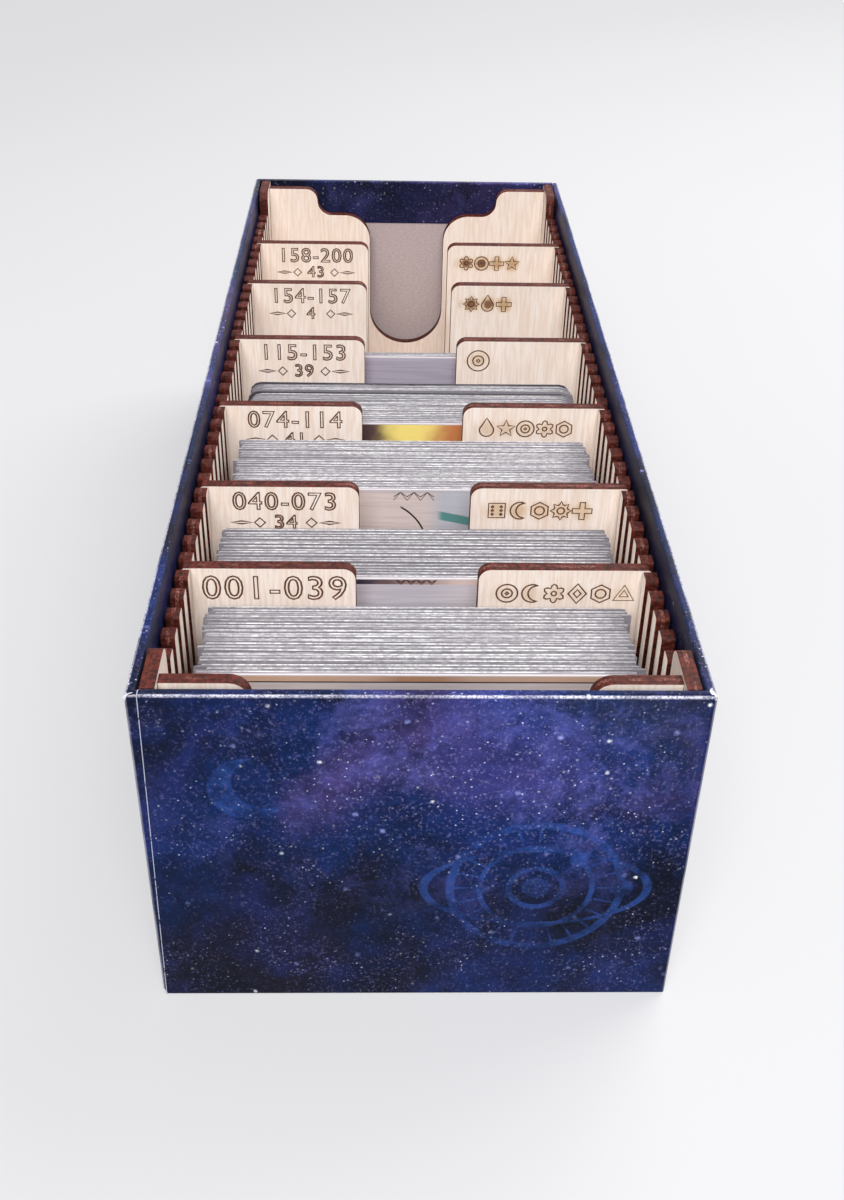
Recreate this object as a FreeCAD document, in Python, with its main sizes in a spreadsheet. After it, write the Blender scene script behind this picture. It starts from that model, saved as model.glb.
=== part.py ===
import FreeCAD, Part
import Sketcher
import math
import os

# Card box organizer: a rigid cardboard tray covered in printed paper, and a laser-cut plywood
# insert that stands in it. Slotted side plates hold six tabbed dividers, and packs of sleeved
# cards stand between the dividers.
#
# Frame: X across the box, Y from the front wall to the back wall, +Z up. The origin is the
# middle of the box's footprint, on the surface that it stands on. Millimetres.

doc = FreeCAD.newDocument("card_box_organizer")

# ---------------------------------------------------------------- driving dimensions

SIZES = [
    ("card_width", 89.8, "sleeved card, lying on its long side"),
    ("card_height", 64.5, "sleeved card, floor to top edge"),
    ("card_pitch", 0.6, "room that one sleeved card takes in a pack"),
    ("card_gap", 0.1, "air between two sleeved cards"),
    ("card_round", 3.0, "corner radius of a card"),
    ("card_side_gap", 4.1, "card to side plate, each side"),
    ("card_top_gap", 14.0, "card's top edge to the rim"),
    ("ply", 2.9, "plywood thickness"),
    ("board", 1.4, "greyboard thickness"),
    ("paper", 0.2, "covering paper thickness"),
    ("turn_in", 15.0, "covering paper folded over the rim and down inside"),
    ("insert_gap", 0.6, "insert to tray, each side"),
    ("glue_gap", 0.05, "tenon to mortise, each side"),
    ("slot_pitch", 7.0, "slot to slot"),
    ("slot_count", 38, "slots in one side plate"),
    ("slot_gap", 0.15, "divider face to slot wall, each side"),
    ("slot_floor", 20.4, "bottom of a slot above the tray's floor"),
    ("tooth_drop", 6.5, "tooth tops below the rim"),
    ("tooth_round", 0.8, "radius on the top corners of a tooth"),
    ("end_tab", 14.0, "side plate's corner tab, end to first slot"),
    ("end_tab_drop", 0.1, "corner tab's top below the rim"),
    ("end_tab_round", 3.0, "radius on the corner tab's free corner"),
    ("end_inset", 2.6, "end plate's outer face behind the side plate's end"),
    ("end_plate_drop", 1.0, "end plate's top below the rim"),
    ("shoulder_half", 31.9, "middle of the box to the end plate's raised tab"),
    ("shoulder_drop", 9.3, "end plate's shoulder below its tab"),
    ("shoulder_round", 5.0, "radius in the shoulder's inner corner"),
    ("tab_round", 4.2, "radius on the end plate's tab"),
    ("notch_half", 13.3, "half of the finger notch's width"),
    ("notch_floor", 22.0, "bottom of the finger notch above the tray's floor"),
    ("notch_round", 9.0, "radius at the mouth of an end plate's notch"),
    ("divider_round", 2.8, "radius at the mouth of a divider's notch"),
    ("divider_drop", 6.5, "divider's top below the rim"),
    ("divider_side_gap", 0.4, "divider's body to side plate, each side"),
    ("ear_reach", 1.9, "divider's ear past the side plate's inner face"),
    ("ear_lift", 0.3, "underside of an ear above its slot's bottom"),
    ("ear_round", 0.7, "radius on an ear's top corner"),
    ("side_tenon", 14.0, "height of an end plate's side tenon"),
    ("side_tenon_low", 8.0, "lower side tenon above the insert's floor"),
    ("side_tenon_high", 42.0, "upper side tenon above the insert's floor"),
    ("foot_tenon", 18.0, "length of an end plate's foot tenon"),
    ("foot_tenon_offset", 30.0, "foot tenon's middle from the middle of the plate"),
    ("floor_tenon", 24.0, "length of a tenon along the floor plate's sides"),
    ("floor_tenon_pitch", 68.0, "floor tenon to floor tenon"),
]

DIVIDER_SLOTS = [5, 10, 16, 22, 28, 33]     # slot that each divider stands in, counted from 0
PACK_CARDS = [40, 35, 42, 40, 5]            # cards in each pack, from the front
PACK_SLACK = [0.82, 0.41, 0.64, 0.13, 0.055]  # share of a compartment's free room before its pack
FLOOR_TENONS = 4                            # tenons on each long side of the floor plate

dims = doc.addObject("Spreadsheet::Sheet", "dims")


def put_in_sheet(row, name, value, note=""):
    dims.set("A%d" % row, name)
    dims.set("B%d" % row, "%g" % value)
    dims.set("C%d" % row, note)
    dims.setAlias("B%d" % row, name)


for row, (name, value, note) in enumerate(SIZES, start=1):
    put_in_sheet(row, name, value, note)
row = len(SIZES) + 1
for number, slot in enumerate(DIVIDER_SLOTS, start=1):
    put_in_sheet(row, "divider_slot_%d" % number, slot, "slot of divider %d" % number)
    row += 1
for number, cards in enumerate(PACK_CARDS, start=1):
    put_in_sheet(row, "pack_cards_%d" % number, cards, "cards in pack %d" % number)
    put_in_sheet(row + 1, "pack_slack_%d" % number, PACK_SLACK[number - 1], "its place")
    row += 2
doc.recompute()

# ---------------------------------------------------------------- lengths worked out from them

WALL = "(2 * dims.paper + dims.board)"
TRAY_FLOOR = "(dims.paper + dims.board)"
INSERT_FLOOR = "(%s + dims.ply)" % TRAY_FLOOR
SLOT_WIDTH = "(dims.ply + 2 * dims.slot_gap)"

INNER_HALF = "(dims.card_width / 2 + dims.card_side_gap)"
OUTER_HALF = "(%s + dims.ply)" % INNER_HALF
COMB_HALF = "((dims.slot_count - 1) * dims.slot_pitch / 2 + %s / 2)" % SLOT_WIDTH
PLATE_HALF = "(%s + dims.end_tab)" % COMB_HALF

BOX_WIDTH = "(2 * (%s + dims.insert_gap + %s))" % (OUTER_HALF, WALL)
BOX_LENGTH = "(2 * (%s + dims.insert_gap + %s))" % (PLATE_HALF, WALL)
BOX_HEIGHT = "(%s + dims.card_height + dims.card_top_gap)" % INSERT_FLOOR

TOOTH_TOP = "(%s - dims.tooth_drop)" % BOX_HEIGHT
SLOT_BOTTOM = "(%s + dims.slot_floor)" % TRAY_FLOOR
TAB_TOP = "(%s - dims.end_tab_drop)" % BOX_HEIGHT
END_TOP = "(%s - dims.end_plate_drop)" % BOX_HEIGHT
END_SHOULDER = "(%s - dims.shoulder_drop)" % END_TOP
DIVIDER_TOP = "(%s - dims.divider_drop)" % BOX_HEIGHT
NOTCH_BOTTOM = "(%s + dims.notch_floor)" % TRAY_FLOOR
END_OUTER_FACE = "(%s - dims.end_inset)" % PLATE_HALF
END_INNER_FACE = "(%s - dims.ply)" % END_OUTER_FACE


def value(expression):
    """The number that an expression on the sheet stands for."""
    return float(dims.evalExpression(expression))


def minus(expression):
    return "-(%s)" % expression


def total(*expressions):
    return "(%s)" % " + ".join(expressions)


def slot_middle(slot_expression):
    """Y of the middle of a slot."""
    return "((%s - (dims.slot_count - 1) / 2) * dims.slot_pitch)" % slot_expression


# ---------------------------------------------------------------- helpers for bodies

NODES = []      # (name, object) of each piece, in order


def keep(name, thing):
    thing.Label = name
    NODES.append((name, thing))
    return thing


def block(name, low, size):
    """A plain box: its low corner and its size are expressions."""
    box = doc.addObject("Part::Box", name)
    for prop, expression in zip(("Length", "Width", "Height"), size):
        box.setExpression(prop, expression)
    for axis, expression in zip("xyz", low):
        box.setExpression("Placement.Base." + axis, expression)
    return box


def centred_block(name, half_x, half_y, low_z, height):
    size = ("2 * " + half_x, "2 * " + half_y, height)
    return block(name, (minus(half_x), minus(half_y), low_z), size)


def new_body(name):
    return keep(name, doc.addObject("PartDesign::Body", name))


def new_sketch(body, name, role):
    """A sketch on one of the body's own origin planes."""
    sketch = body.newObject("Sketcher::SketchObject", name)
    plane = [feature for feature in body.Origin.OriginFeatures if feature.Role == role][0]
    sketch.AttachmentSupport = (plane, [""])
    sketch.MapMode = "FlatFace"
    return sketch


def pin_point(sketch, geometry, end, point):
    """Hold a point of the sketch at a place given by two expressions."""
    for kind, expression in zip(("DistanceX", "DistanceY"), point):
        rule = Sketcher.Constraint(kind, -1, 1, geometry, end, value(expression))
        sketch.setExpression("Constraints[%d]" % sketch.addConstraint(rule), expression)


def add_polygon(sketch, points):
    """A closed outline through points whose places are expressions."""
    spots = [FreeCAD.Vector(value(u), value(v), 0) for u, v in points]
    first = sketch.GeometryCount
    for index, spot in enumerate(spots):
        following = spots[(index + 1) % len(spots)]
        sketch.addGeometry(Part.LineSegment(spot, following), False)
    for index in range(len(spots)):
        following = first + (index + 1) % len(spots)
        sketch.addConstraint(Sketcher.Constraint("Coincident", first + index, 2, following, 1))
    for index, point in enumerate(points):
        pin_point(sketch, first + index, 1, point)


def add_rectangle(sketch, low, high):
    add_polygon(sketch, [low, (high[0], low[1]), high, (low[0], high[1])])


def pad(body, sketch, thickness):
    feature = body.newObject("PartDesign::Pad", sketch.Name + "_pad")
    feature.Profile = sketch
    feature.setExpression("Length", thickness)
    sketch.Visibility = False
    doc.recompute()
    return feature


def pocket(body, sketch):
    """Cut a sketch right through, to both sides of its plane; stop if nothing is taken away."""
    before = body.Shape.Volume
    feature = body.newObject("PartDesign::Pocket", sketch.Name + "_cut")
    feature.Profile = sketch
    feature.Midplane = True
    feature.setExpression("Length", "4 * dims.ply")
    sketch.Visibility = False
    doc.recompute()
    if not body.Shape.Volume < before - 1e-6:
        raise RuntimeError("%s cuts nothing" % feature.Name)
    return feature


def edges_at(body, along, spots):
    """Names of the edges that run along an axis and pass through the given places."""
    found = []
    for number, edge in enumerate(body.Shape.Edges, start=1):
        ends = [vertex.Point for vertex in edge.Vertexes]
        if len(ends) != 2:
            continue
        run = ends[1] - ends[0]
        others = [axis for axis in "xyz" if axis != along]
        if any(abs(getattr(run, axis)) > 1e-6 for axis in others):
            continue
        place = [getattr(ends[0], axis) for axis in others]
        for spot in spots:
            if abs(place[0] - spot[0]) < 1e-4 and abs(place[1] - spot[1]) < 1e-4:
                found.append("Edge%d" % number)
    return found


def round_edges(body, name, along, spots, radius):
    """Fillet the edges along an axis at the given places, all of them or none."""
    edges = edges_at(body, along, spots)
    if len(edges) != len(spots):
        raise RuntimeError("%s: %d edges for %d places" % (name, len(edges), len(spots)))
    base = body.Tip
    feature = body.newObject("PartDesign::Fillet", name)
    feature.Base = (base, edges)
    feature.setExpression("Radius", radius)
    body.Tip = feature
    doc.recompute()
    return feature


def both_sides(points):
    """Add the mirror image of a right half, so that the outline closes."""
    return points + [(minus(u), v) for u, v in reversed(points)]


# ---------------------------------------------------------------- cardboard tray


def make_tray():
    """Greyboard base and walls, the printed paper round them and the paper under the base."""
    half_x = "(%s / 2)" % BOX_WIDTH
    half_y = "(%s / 2)" % BOX_LENGTH
    board_x = "(%s - dims.paper)" % half_x
    board_y = "(%s - dims.paper)" % half_y
    inside_x = "(%s - dims.board)" % board_x
    inside_y = "(%s - dims.board)" % board_y
    wall_height = "%s - 2 * dims.paper" % BOX_HEIGHT

    keep("base_board", centred_block("base_board", inside_x, inside_y, "dims.paper", "dims.board"))
    for name, low_x in (("left_board", minus(board_x)), ("right_board", inside_x)):
        size = ("dims.board", "2 * " + board_y, wall_height)
        keep(name, block(name, (low_x, minus(board_y), "dims.paper"), size))
    for name, low_y in (("front_board", minus(board_y)), ("back_board", inside_y)):
        size = ("2 * " + inside_x, "dims.board", wall_height)
        keep(name, block(name, (minus(inside_x), low_y, "dims.paper"), size))

    keep("base_sheet", centred_block("base_sheet", half_x, half_y, "0", "dims.paper"))

    # The wrap: one paper skin outside, over the rim and down inside by the turn-in.
    outside = centred_block("wrap_outside", half_x, half_y, "dims.paper",
                            "%s - dims.paper" % BOX_HEIGHT)
    room = centred_block("wrap_board_room", board_x, board_y, "dims.paper", wall_height)
    skin = doc.addObject("Part::Cut", "wrap_skin")
    skin.Base = outside
    skin.Tool = room
    fold = centred_block("wrap_fold", inside_x, inside_y, "%s - dims.turn_in" % BOX_HEIGHT,
                         "dims.turn_in")
    folded = doc.addObject("Part::Fuse", "wrap_folded")
    folded.Base = skin
    folded.Tool = fold
    mouth = centred_block("wrap_mouth", "(%s - dims.paper)" % inside_x,
                          "(%s - dims.paper)" % inside_y, "0", "2 * %s" % BOX_HEIGHT)
    wrap = doc.addObject("Part::Cut", "wrap_sheet")
    wrap.Base = folded
    wrap.Tool = mouth
    keep("wrap_sheet", wrap)


# ---------------------------------------------------------------- plywood insert


def floor_tenon_middle(index):
    return "(%g * dims.floor_tenon_pitch)" % (index - (FLOOR_TENONS - 1) / 2)


def make_side_plate(name, low_x):
    """Slotted side plate: corner tabs up to the rim, and a comb of teeth between them."""
    body = new_body(name)
    outline = new_sketch(body, name + "_outline", "YZ_Plane")
    points = [(minus(PLATE_HALF), TRAY_FLOOR)]
    for index in range(FLOOR_TENONS):
        middle = floor_tenon_middle(index)
        low = "(%s - dims.floor_tenon / 2 - dims.glue_gap)" % middle
        high = "(%s + dims.floor_tenon / 2 + dims.glue_gap)" % middle
        notch_top = "(%s + dims.glue_gap)" % INSERT_FLOOR
        points += [(low, TRAY_FLOOR), (low, notch_top), (high, notch_top), (high, TRAY_FLOOR)]
    points += [(PLATE_HALF, TRAY_FLOOR), (PLATE_HALF, TAB_TOP), (COMB_HALF, TAB_TOP),
               (COMB_HALF, TOOTH_TOP), (minus(COMB_HALF), TOOTH_TOP),
               (minus(COMB_HALF), TAB_TOP), (minus(PLATE_HALF), TAB_TOP)]
    add_polygon(outline, points)
    pad(body, outline, "dims.ply")

    mortises = new_sketch(body, name + "_mortises", "YZ_Plane")
    for outer, inner in ((minus(END_OUTER_FACE), minus(END_INNER_FACE)),
                         (END_INNER_FACE, END_OUTER_FACE)):
        for height in ("dims.side_tenon_low", "dims.side_tenon_high"):
            low = (outer + " - dims.glue_gap", total(INSERT_FLOOR, height) + " - dims.glue_gap")
            high = (inner + " + dims.glue_gap",
                    total(INSERT_FLOOR, height, "dims.side_tenon") + " + dims.glue_gap")
            add_rectangle(mortises, low, high)
    pocket(body, mortises)

    slot = new_sketch(body, name + "_slot", "YZ_Plane")
    above = "(%s + dims.ply)" % BOX_HEIGHT
    first_wall = minus(COMB_HALF)
    add_rectangle(slot, (first_wall, SLOT_BOTTOM), ("(%s + %s)" % (first_wall, SLOT_WIDTH), above))
    cut = pocket(body, slot)
    single = body.Shape.Volume
    comb = body.newObject("PartDesign::LinearPattern", name + "_comb")
    comb.Originals = [cut]
    comb.Direction = ([axis for axis in body.Origin.OriginFeatures if axis.Role == "Y_Axis"][0],
                      [""])
    comb.setExpression("Length", "(dims.slot_count - 1) * dims.slot_pitch")
    comb.setExpression("Occurrences", "dims.slot_count")
    body.Tip = comb
    doc.recompute()
    if not body.Shape.Volume < single - 1e-6:
        raise RuntimeError("the comb of %s has one slot" % name)

    corners = [(side * value(COMB_HALF), value(TAB_TOP)) for side in (-1, 1)]
    round_edges(body, name + "_tab_corners", "x", corners, "dims.end_tab_round")
    teeth = []
    for index in range(int(value("dims.slot_count")) - 1):
        for slot_index, side in ((index, 1), (index + 1, -1)):
            wall = value(slot_middle(str(slot_index))) + side * value(SLOT_WIDTH) / 2
            teeth.append((wall, value(TOOTH_TOP)))
    round_edges(body, name + "_tooth_corners", "x", teeth, "dims.tooth_round")
    body.setExpression("Placement.Base.x", low_x)


def make_floor_plate():
    """Floor of the insert: tenons into the side plates, mortises for the end plates' feet."""
    body = new_body("floor_plate")
    outline = new_sketch(body, "floor_outline", "XY_Plane")
    points = [(INNER_HALF, minus(PLATE_HALF))]
    for index in range(FLOOR_TENONS):
        middle = floor_tenon_middle(index)
        low = "(%s - dims.floor_tenon / 2)" % middle
        high = "(%s + dims.floor_tenon / 2)" % middle
        points += [(INNER_HALF, low), (OUTER_HALF, low), (OUTER_HALF, high), (INNER_HALF, high)]
    points.append((INNER_HALF, PLATE_HALF))
    add_polygon(outline, both_sides(points))
    pad(body, outline, "dims.ply")

    feet = new_sketch(body, "floor_mortises", "XY_Plane")
    reach = "(dims.foot_tenon / 2 + dims.glue_gap)"
    for middle in ("dims.foot_tenon_offset", "-dims.foot_tenon_offset"):
        for outer, inner in ((minus(END_OUTER_FACE), minus(END_INNER_FACE)),
                             (END_INNER_FACE, END_OUTER_FACE)):
            add_rectangle(feet, ("%s - %s" % (middle, reach), outer + " - dims.glue_gap"),
                          ("%s + %s" % (middle, reach), inner + " + dims.glue_gap"))
    pocket(body, feet)
    body.setExpression("Placement.Base.z", TRAY_FLOOR)


def cut_finger_notch(body, name, mouth_height):
    """Round-bottomed notch in the middle of an upright plate, open at the top."""
    sketch = new_sketch(body, name + "_notch", "XZ_Plane")
    middle = "(%s + dims.notch_half)" % NOTCH_BOTTOM
    above = "(%s + dims.ply)" % mouth_height
    half = value("dims.notch_half")
    low = value(middle)
    high = value(above)
    left = Part.LineSegment(FreeCAD.Vector(-half, high, 0), FreeCAD.Vector(-half, low, 0))
    right = Part.LineSegment(FreeCAD.Vector(half, low, 0), FreeCAD.Vector(half, high, 0))
    lid = Part.LineSegment(FreeCAD.Vector(half, high, 0), FreeCAD.Vector(-half, high, 0))
    circle = Part.Circle(FreeCAD.Vector(0, low, 0), FreeCAD.Vector(0, 0, 1), half)
    sketch.addGeometry(left, False)
    sketch.addGeometry(Part.ArcOfCircle(circle, math.pi, 2 * math.pi), False)
    sketch.addGeometry(right, False)
    sketch.addGeometry(lid, False)
    for here, there in ((0, 1), (1, 2), (2, 3), (3, 0)):
        sketch.addConstraint(Sketcher.Constraint("Coincident", here, 2, there, 1))
    pin_point(sketch, 0, 1, ("-dims.notch_half", above))
    pin_point(sketch, 0, 2, ("-dims.notch_half", middle))
    pin_point(sketch, 2, 1, ("dims.notch_half", middle))
    pin_point(sketch, 3, 1, ("dims.notch_half", above))
    rule = Sketcher.Constraint("DistanceY", -1, 1, 1, 3, low)
    sketch.setExpression("Constraints[%d]" % sketch.addConstraint(rule), middle)
    pocket(body, sketch)


def mirrored_spots(*pairs):
    """Both sides' places of edges that run along Y, from expressions."""
    return [(side * value(x), value(z)) for x, z in pairs for side in (-1, 1)]


def make_end_plate(name, back_face):
    """Front or back plate: two raised tabs, round shoulders and a finger notch."""
    body = new_body(name)
    outline = new_sketch(body, name + "_outline", "XZ_Plane")
    foot_low = "(dims.foot_tenon_offset - dims.foot_tenon / 2)"
    foot_high = "(dims.foot_tenon_offset + dims.foot_tenon / 2)"
    points = [(foot_low, INSERT_FLOOR), (foot_low, TRAY_FLOOR), (foot_high, TRAY_FLOOR),
              (foot_high, INSERT_FLOOR), (INNER_HALF, INSERT_FLOOR)]
    for height in ("dims.side_tenon_low", "dims.side_tenon_high"):
        low = total(INSERT_FLOOR, height)
        high = total(INSERT_FLOOR, height, "dims.side_tenon")
        points += [(INNER_HALF, low), (OUTER_HALF, low), (OUTER_HALF, high), (INNER_HALF, high)]
    points += [(INNER_HALF, END_TOP), ("dims.shoulder_half", END_TOP),
               ("dims.shoulder_half", END_SHOULDER)]
    add_polygon(outline, both_sides(points))
    pad(body, outline, "dims.ply")
    cut_finger_notch(body, name, END_TOP)
    round_edges(body, name + "_tab_corners", "y",
                mirrored_spots(("dims.shoulder_half", END_TOP)), "dims.tab_round")
    round_edges(body, name + "_shoulders", "y",
                mirrored_spots(("dims.shoulder_half", END_SHOULDER)), "dims.shoulder_round")
    round_edges(body, name + "_notch_mouth", "y",
                mirrored_spots(("dims.notch_half", END_SHOULDER)), "dims.notch_round")
    body.setExpression("Placement.Base.y", back_face)


def make_insert():
    make_floor_plate()
    make_side_plate("left_side_plate", minus(OUTER_HALF))
    make_side_plate("right_side_plate", INNER_HALF)
    make_end_plate("front_plate", minus(END_INNER_FACE))
    make_end_plate("back_plate", END_OUTER_FACE)


# ---------------------------------------------------------------- dividers


def make_divider(number):
    """Plywood divider: a full-width body on the floor, and ears that ride in the slots."""
    name = "divider_%d" % number
    body = new_body(name)
    outline = new_sketch(body, name + "_outline", "XZ_Plane")
    body_half = "(%s - dims.divider_side_gap)" % INNER_HALF
    ear_half = "(%s + dims.ear_reach)" % INNER_HALF
    ear_low = "(%s + dims.ear_lift)" % SLOT_BOTTOM
    add_polygon(outline, both_sides([(body_half, INSERT_FLOOR), (body_half, ear_low),
                                     (ear_half, ear_low), (ear_half, DIVIDER_TOP)]))
    pad(body, outline, "dims.ply")
    cut_finger_notch(body, name, DIVIDER_TOP)
    round_edges(body, name + "_notch_mouth", "y",
                mirrored_spots(("dims.notch_half", DIVIDER_TOP)), "dims.divider_round")
    round_edges(body, name + "_ear_corners", "y",
                mirrored_spots((ear_half, DIVIDER_TOP)), "dims.ear_round")
    middle = slot_middle("dims.divider_slot_%d" % number)
    body.setExpression("Placement.Base.y", "%s + dims.ply / 2" % middle)


# ---------------------------------------------------------------- cards


def card_shape():
    """One sleeved card, standing on its long side with its front face at Y = 0."""
    wide = value("dims.card_width")
    tall = value("dims.card_height")
    thick = value("dims.card_pitch") - value("dims.card_gap")
    card = Part.makeBox(wide, thick, tall, FreeCAD.Vector(-wide / 2, 0, 0))
    upright = [edge for edge in card.Edges if abs(edge.tangentAt(edge.FirstParameter).y) > 0.9]
    return card.makeFillet(value("dims.card_round"), upright)


def compartment(number):
    """Y of the front and of the back of the compartment that a pack stands in."""
    half_ply = value("dims.ply") / 2
    back = value(slot_middle("dims.divider_slot_%d" % number)) - half_ply
    if number == 1:
        return -value(END_INNER_FACE), back
    return value(slot_middle("dims.divider_slot_%d" % (number - 1))) + half_ply, back


def make_pack(number):
    """A pack of loose sleeved cards: the first is the face card, the rest share a node."""
    card = card_shape()
    pitch = value("dims.card_pitch")
    count = int(value("dims.pack_cards_%d" % number))
    front, back = compartment(number)
    slack = back - front - (count * pitch - value("dims.card_gap"))
    if slack <= 0:
        raise RuntimeError("pack %d is thicker than its compartment" % number)
    start = front + slack * value("dims.pack_slack_%d" % number)
    floor = value(INSERT_FLOOR)
    leaves = []
    for index in range(count):
        leaves.append(card.translated(FreeCAD.Vector(0, index * pitch, 0)))
    face = doc.addObject("Part::Feature", "face_card_%d" % number)
    face.Shape = leaves[0]
    pack = doc.addObject("Part::Feature", "card_pack_%d" % number)
    pack.Shape = Part.makeCompound(leaves[1:])
    for thing in (face, pack):
        thing.Placement = FreeCAD.Placement(FreeCAD.Vector(0, start, floor), FreeCAD.Rotation())
        keep(thing.Name, thing)


# ---------------------------------------------------------------- build, check and write

make_tray()
make_insert()
for number in range(1, len(DIVIDER_SLOTS) + 1):
    make_divider(number)
for number in range(1, len(PACK_CARDS) + 1):
    make_pack(number)
doc.recompute()

for thing in doc.Objects:
    if "Invalid" in thing.State or "Error" in thing.State:
        raise RuntimeError("%s failed: %s" % (thing.Name, thing.State))
for name, thing in NODES:
    if thing.Shape.isNull() or not thing.Shape.isValid() or not thing.Shape.Solids:
        raise RuntimeError("%s has no sound solid" % name)

os.makedirs("parts", exist_ok=True)
for name, thing in NODES:
    thing.Shape.exportStep(os.path.join("parts", name + ".step"))
    box = thing.Shape.BoundBox
    print("%-18s %3d solids  x %8.2f %8.2f  y %8.2f %8.2f  z %6.2f %6.2f" % (
        name, len(thing.Shape.Solids), box.XMin, box.XMax, box.YMin, box.YMax, box.ZMin, box.ZMax))
print("box %.2f x %.2f x %.2f mm" % (value(BOX_WIDTH), value(BOX_LENGTH), value(BOX_HEIGHT)))
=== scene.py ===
# %% [markdown]
# # A printed card box with a slotted plywood insert
# The object is a long cardboard tray, wrapped in glossy printed paper, with a laser-cut plywood
# insert standing in it. Two side plates are combs of slots. Six dividers with tabs stand in those
# slots, and packs of sleeved cards stand between the dividers.
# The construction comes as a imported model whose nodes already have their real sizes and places.
# This lesson gives every one of them its finish. Where a node's plain solid leaves detail out, such
# as a folded paper edge, an engraving or the single cards of a pack, a modelled piece takes over.

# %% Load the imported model
import math
import random

import bmesh
import bpy
from mathutils import Matrix, Vector


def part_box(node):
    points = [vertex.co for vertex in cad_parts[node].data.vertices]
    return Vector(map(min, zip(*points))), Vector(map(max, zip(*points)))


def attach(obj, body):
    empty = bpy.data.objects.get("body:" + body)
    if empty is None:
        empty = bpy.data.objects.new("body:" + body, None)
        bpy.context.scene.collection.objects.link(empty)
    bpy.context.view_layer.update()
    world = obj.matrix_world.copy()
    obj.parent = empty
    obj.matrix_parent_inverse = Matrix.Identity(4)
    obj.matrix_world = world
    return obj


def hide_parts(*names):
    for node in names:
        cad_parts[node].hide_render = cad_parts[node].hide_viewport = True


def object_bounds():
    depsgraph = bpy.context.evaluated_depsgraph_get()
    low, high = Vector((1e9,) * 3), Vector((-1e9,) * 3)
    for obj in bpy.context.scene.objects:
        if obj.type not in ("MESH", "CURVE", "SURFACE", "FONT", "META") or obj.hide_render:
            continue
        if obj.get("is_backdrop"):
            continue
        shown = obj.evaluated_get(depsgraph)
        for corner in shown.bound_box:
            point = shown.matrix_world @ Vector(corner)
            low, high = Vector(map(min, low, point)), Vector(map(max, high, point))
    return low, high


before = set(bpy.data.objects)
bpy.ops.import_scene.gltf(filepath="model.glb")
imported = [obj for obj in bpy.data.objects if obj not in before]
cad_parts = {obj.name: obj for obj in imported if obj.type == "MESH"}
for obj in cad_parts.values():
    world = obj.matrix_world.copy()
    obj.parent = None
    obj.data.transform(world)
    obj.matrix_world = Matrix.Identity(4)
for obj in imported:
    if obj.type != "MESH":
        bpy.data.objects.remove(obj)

MM = 0.001
cad_low, cad_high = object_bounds()
print("CAD box, mm:", [round(size / MM, 1) for size in cad_high - cad_low])

# %% [markdown]
# ## Working by operators
# Everything below is modelled with the same operators that a person clicks in the viewport. An
# operator acts on whatever is selected, so each helper first clears the selection and then picks
# its faces or edges by where they lie or which way they look. `settle` moves an object's place,
# turn and size into its mesh, so that every finished piece sits at the origin like the CAD nodes.

# %% Selection helpers
SAME = 1e-6


def clear_selection():
    """Leave edit mode and select nothing."""
    if bpy.context.object and bpy.context.object.mode != "OBJECT":
        bpy.ops.object.mode_set(mode="OBJECT")
    bpy.ops.object.select_all(action="DESELECT")


def take(piece):
    """Make one object the selected and active one."""
    clear_selection()
    piece.select_set(True)
    bpy.context.view_layer.objects.active = piece
    return piece


def start_edit(piece):
    """Open one object in edit mode with nothing selected."""
    take(piece)
    bpy.ops.object.mode_set(mode="EDIT")
    bpy.ops.mesh.select_all(action="DESELECT")


def pick(piece, part, test):
    """In edit mode, select the faces, edges or verts that pass a test; say how many."""
    bpy.ops.mesh.select_mode(type={"faces": "FACE", "edges": "EDGE", "verts": "VERT"}[part])
    bpy.ops.mesh.select_all(action="DESELECT")
    mesh = bmesh.from_edit_mesh(piece.data)
    mesh.normal_update()
    chosen = [item for item in getattr(mesh, part) if test(item)]
    for item in chosen:
        item.select_set(True)
    bmesh.update_edit_mesh(piece.data)
    return len(chosen)


print("two places are the same when they are less than %g mm apart" % (SAME / MM))

# %% Modelling helpers
def settle(piece):
    """Move place, turn and size into the mesh, so that the object sits at the origin."""
    take(piece)
    bpy.ops.object.transform_apply(location=True, rotation=True, scale=True)
    return piece


def add_block(name, low, high):
    """A cube primitive stretched between two corners."""
    clear_selection()
    low, high = Vector(low), Vector(high)
    bpy.ops.mesh.primitive_cube_add(size=1, location=(low + high) / 2)
    block = bpy.context.object
    block.name = name
    block.scale = high - low
    return settle(block)


def extrude(step):
    """In edit mode, extrude what is selected by a step."""
    bpy.ops.mesh.extrude_region_move(TRANSFORM_OT_translate={"value": step})


def smooth(piece):
    """Shade an object smooth, with a sharp edge wherever it folds by more than 35 degrees."""
    take(piece)
    bpy.ops.object.shade_smooth_by_angle(angle=math.radians(35))


def apply_modifier(piece, kind, **settings):
    """Add a modifier, set it up and apply it to the mesh."""
    take(piece)
    modifier = piece.modifiers.new(kind.title(), kind)
    for key, setting in settings.items():
        setattr(modifier, key, setting)
    bpy.ops.object.modifier_apply(modifier=modifier.name)


def join(pieces, name):
    """Join several objects into one."""
    clear_selection()
    for piece in pieces:
        piece.select_set(True)
    bpy.context.view_layer.objects.active = pieces[0]
    bpy.ops.object.join()
    joined = bpy.context.object
    joined.name = name
    return joined


def finish_piece(piece, body, nodes):
    """Hand a piece to its body and the nodes that it stands for."""
    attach(piece, body)
    if nodes:
        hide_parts(*nodes)
    print("%-22s %6d faces, rides on %s" % (piece.name, len(piece.data.polygons), body))


# %% [markdown]
# ## Camera
# The view is the one that a person has who leans towards the box and looks down into it: the camera
# is 19 cm in front of the front wall and 24 cm above the table, tipped 35 degrees down. So near an
# object the perspective is strong, and the far end looks half as wide as the near end.

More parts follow.
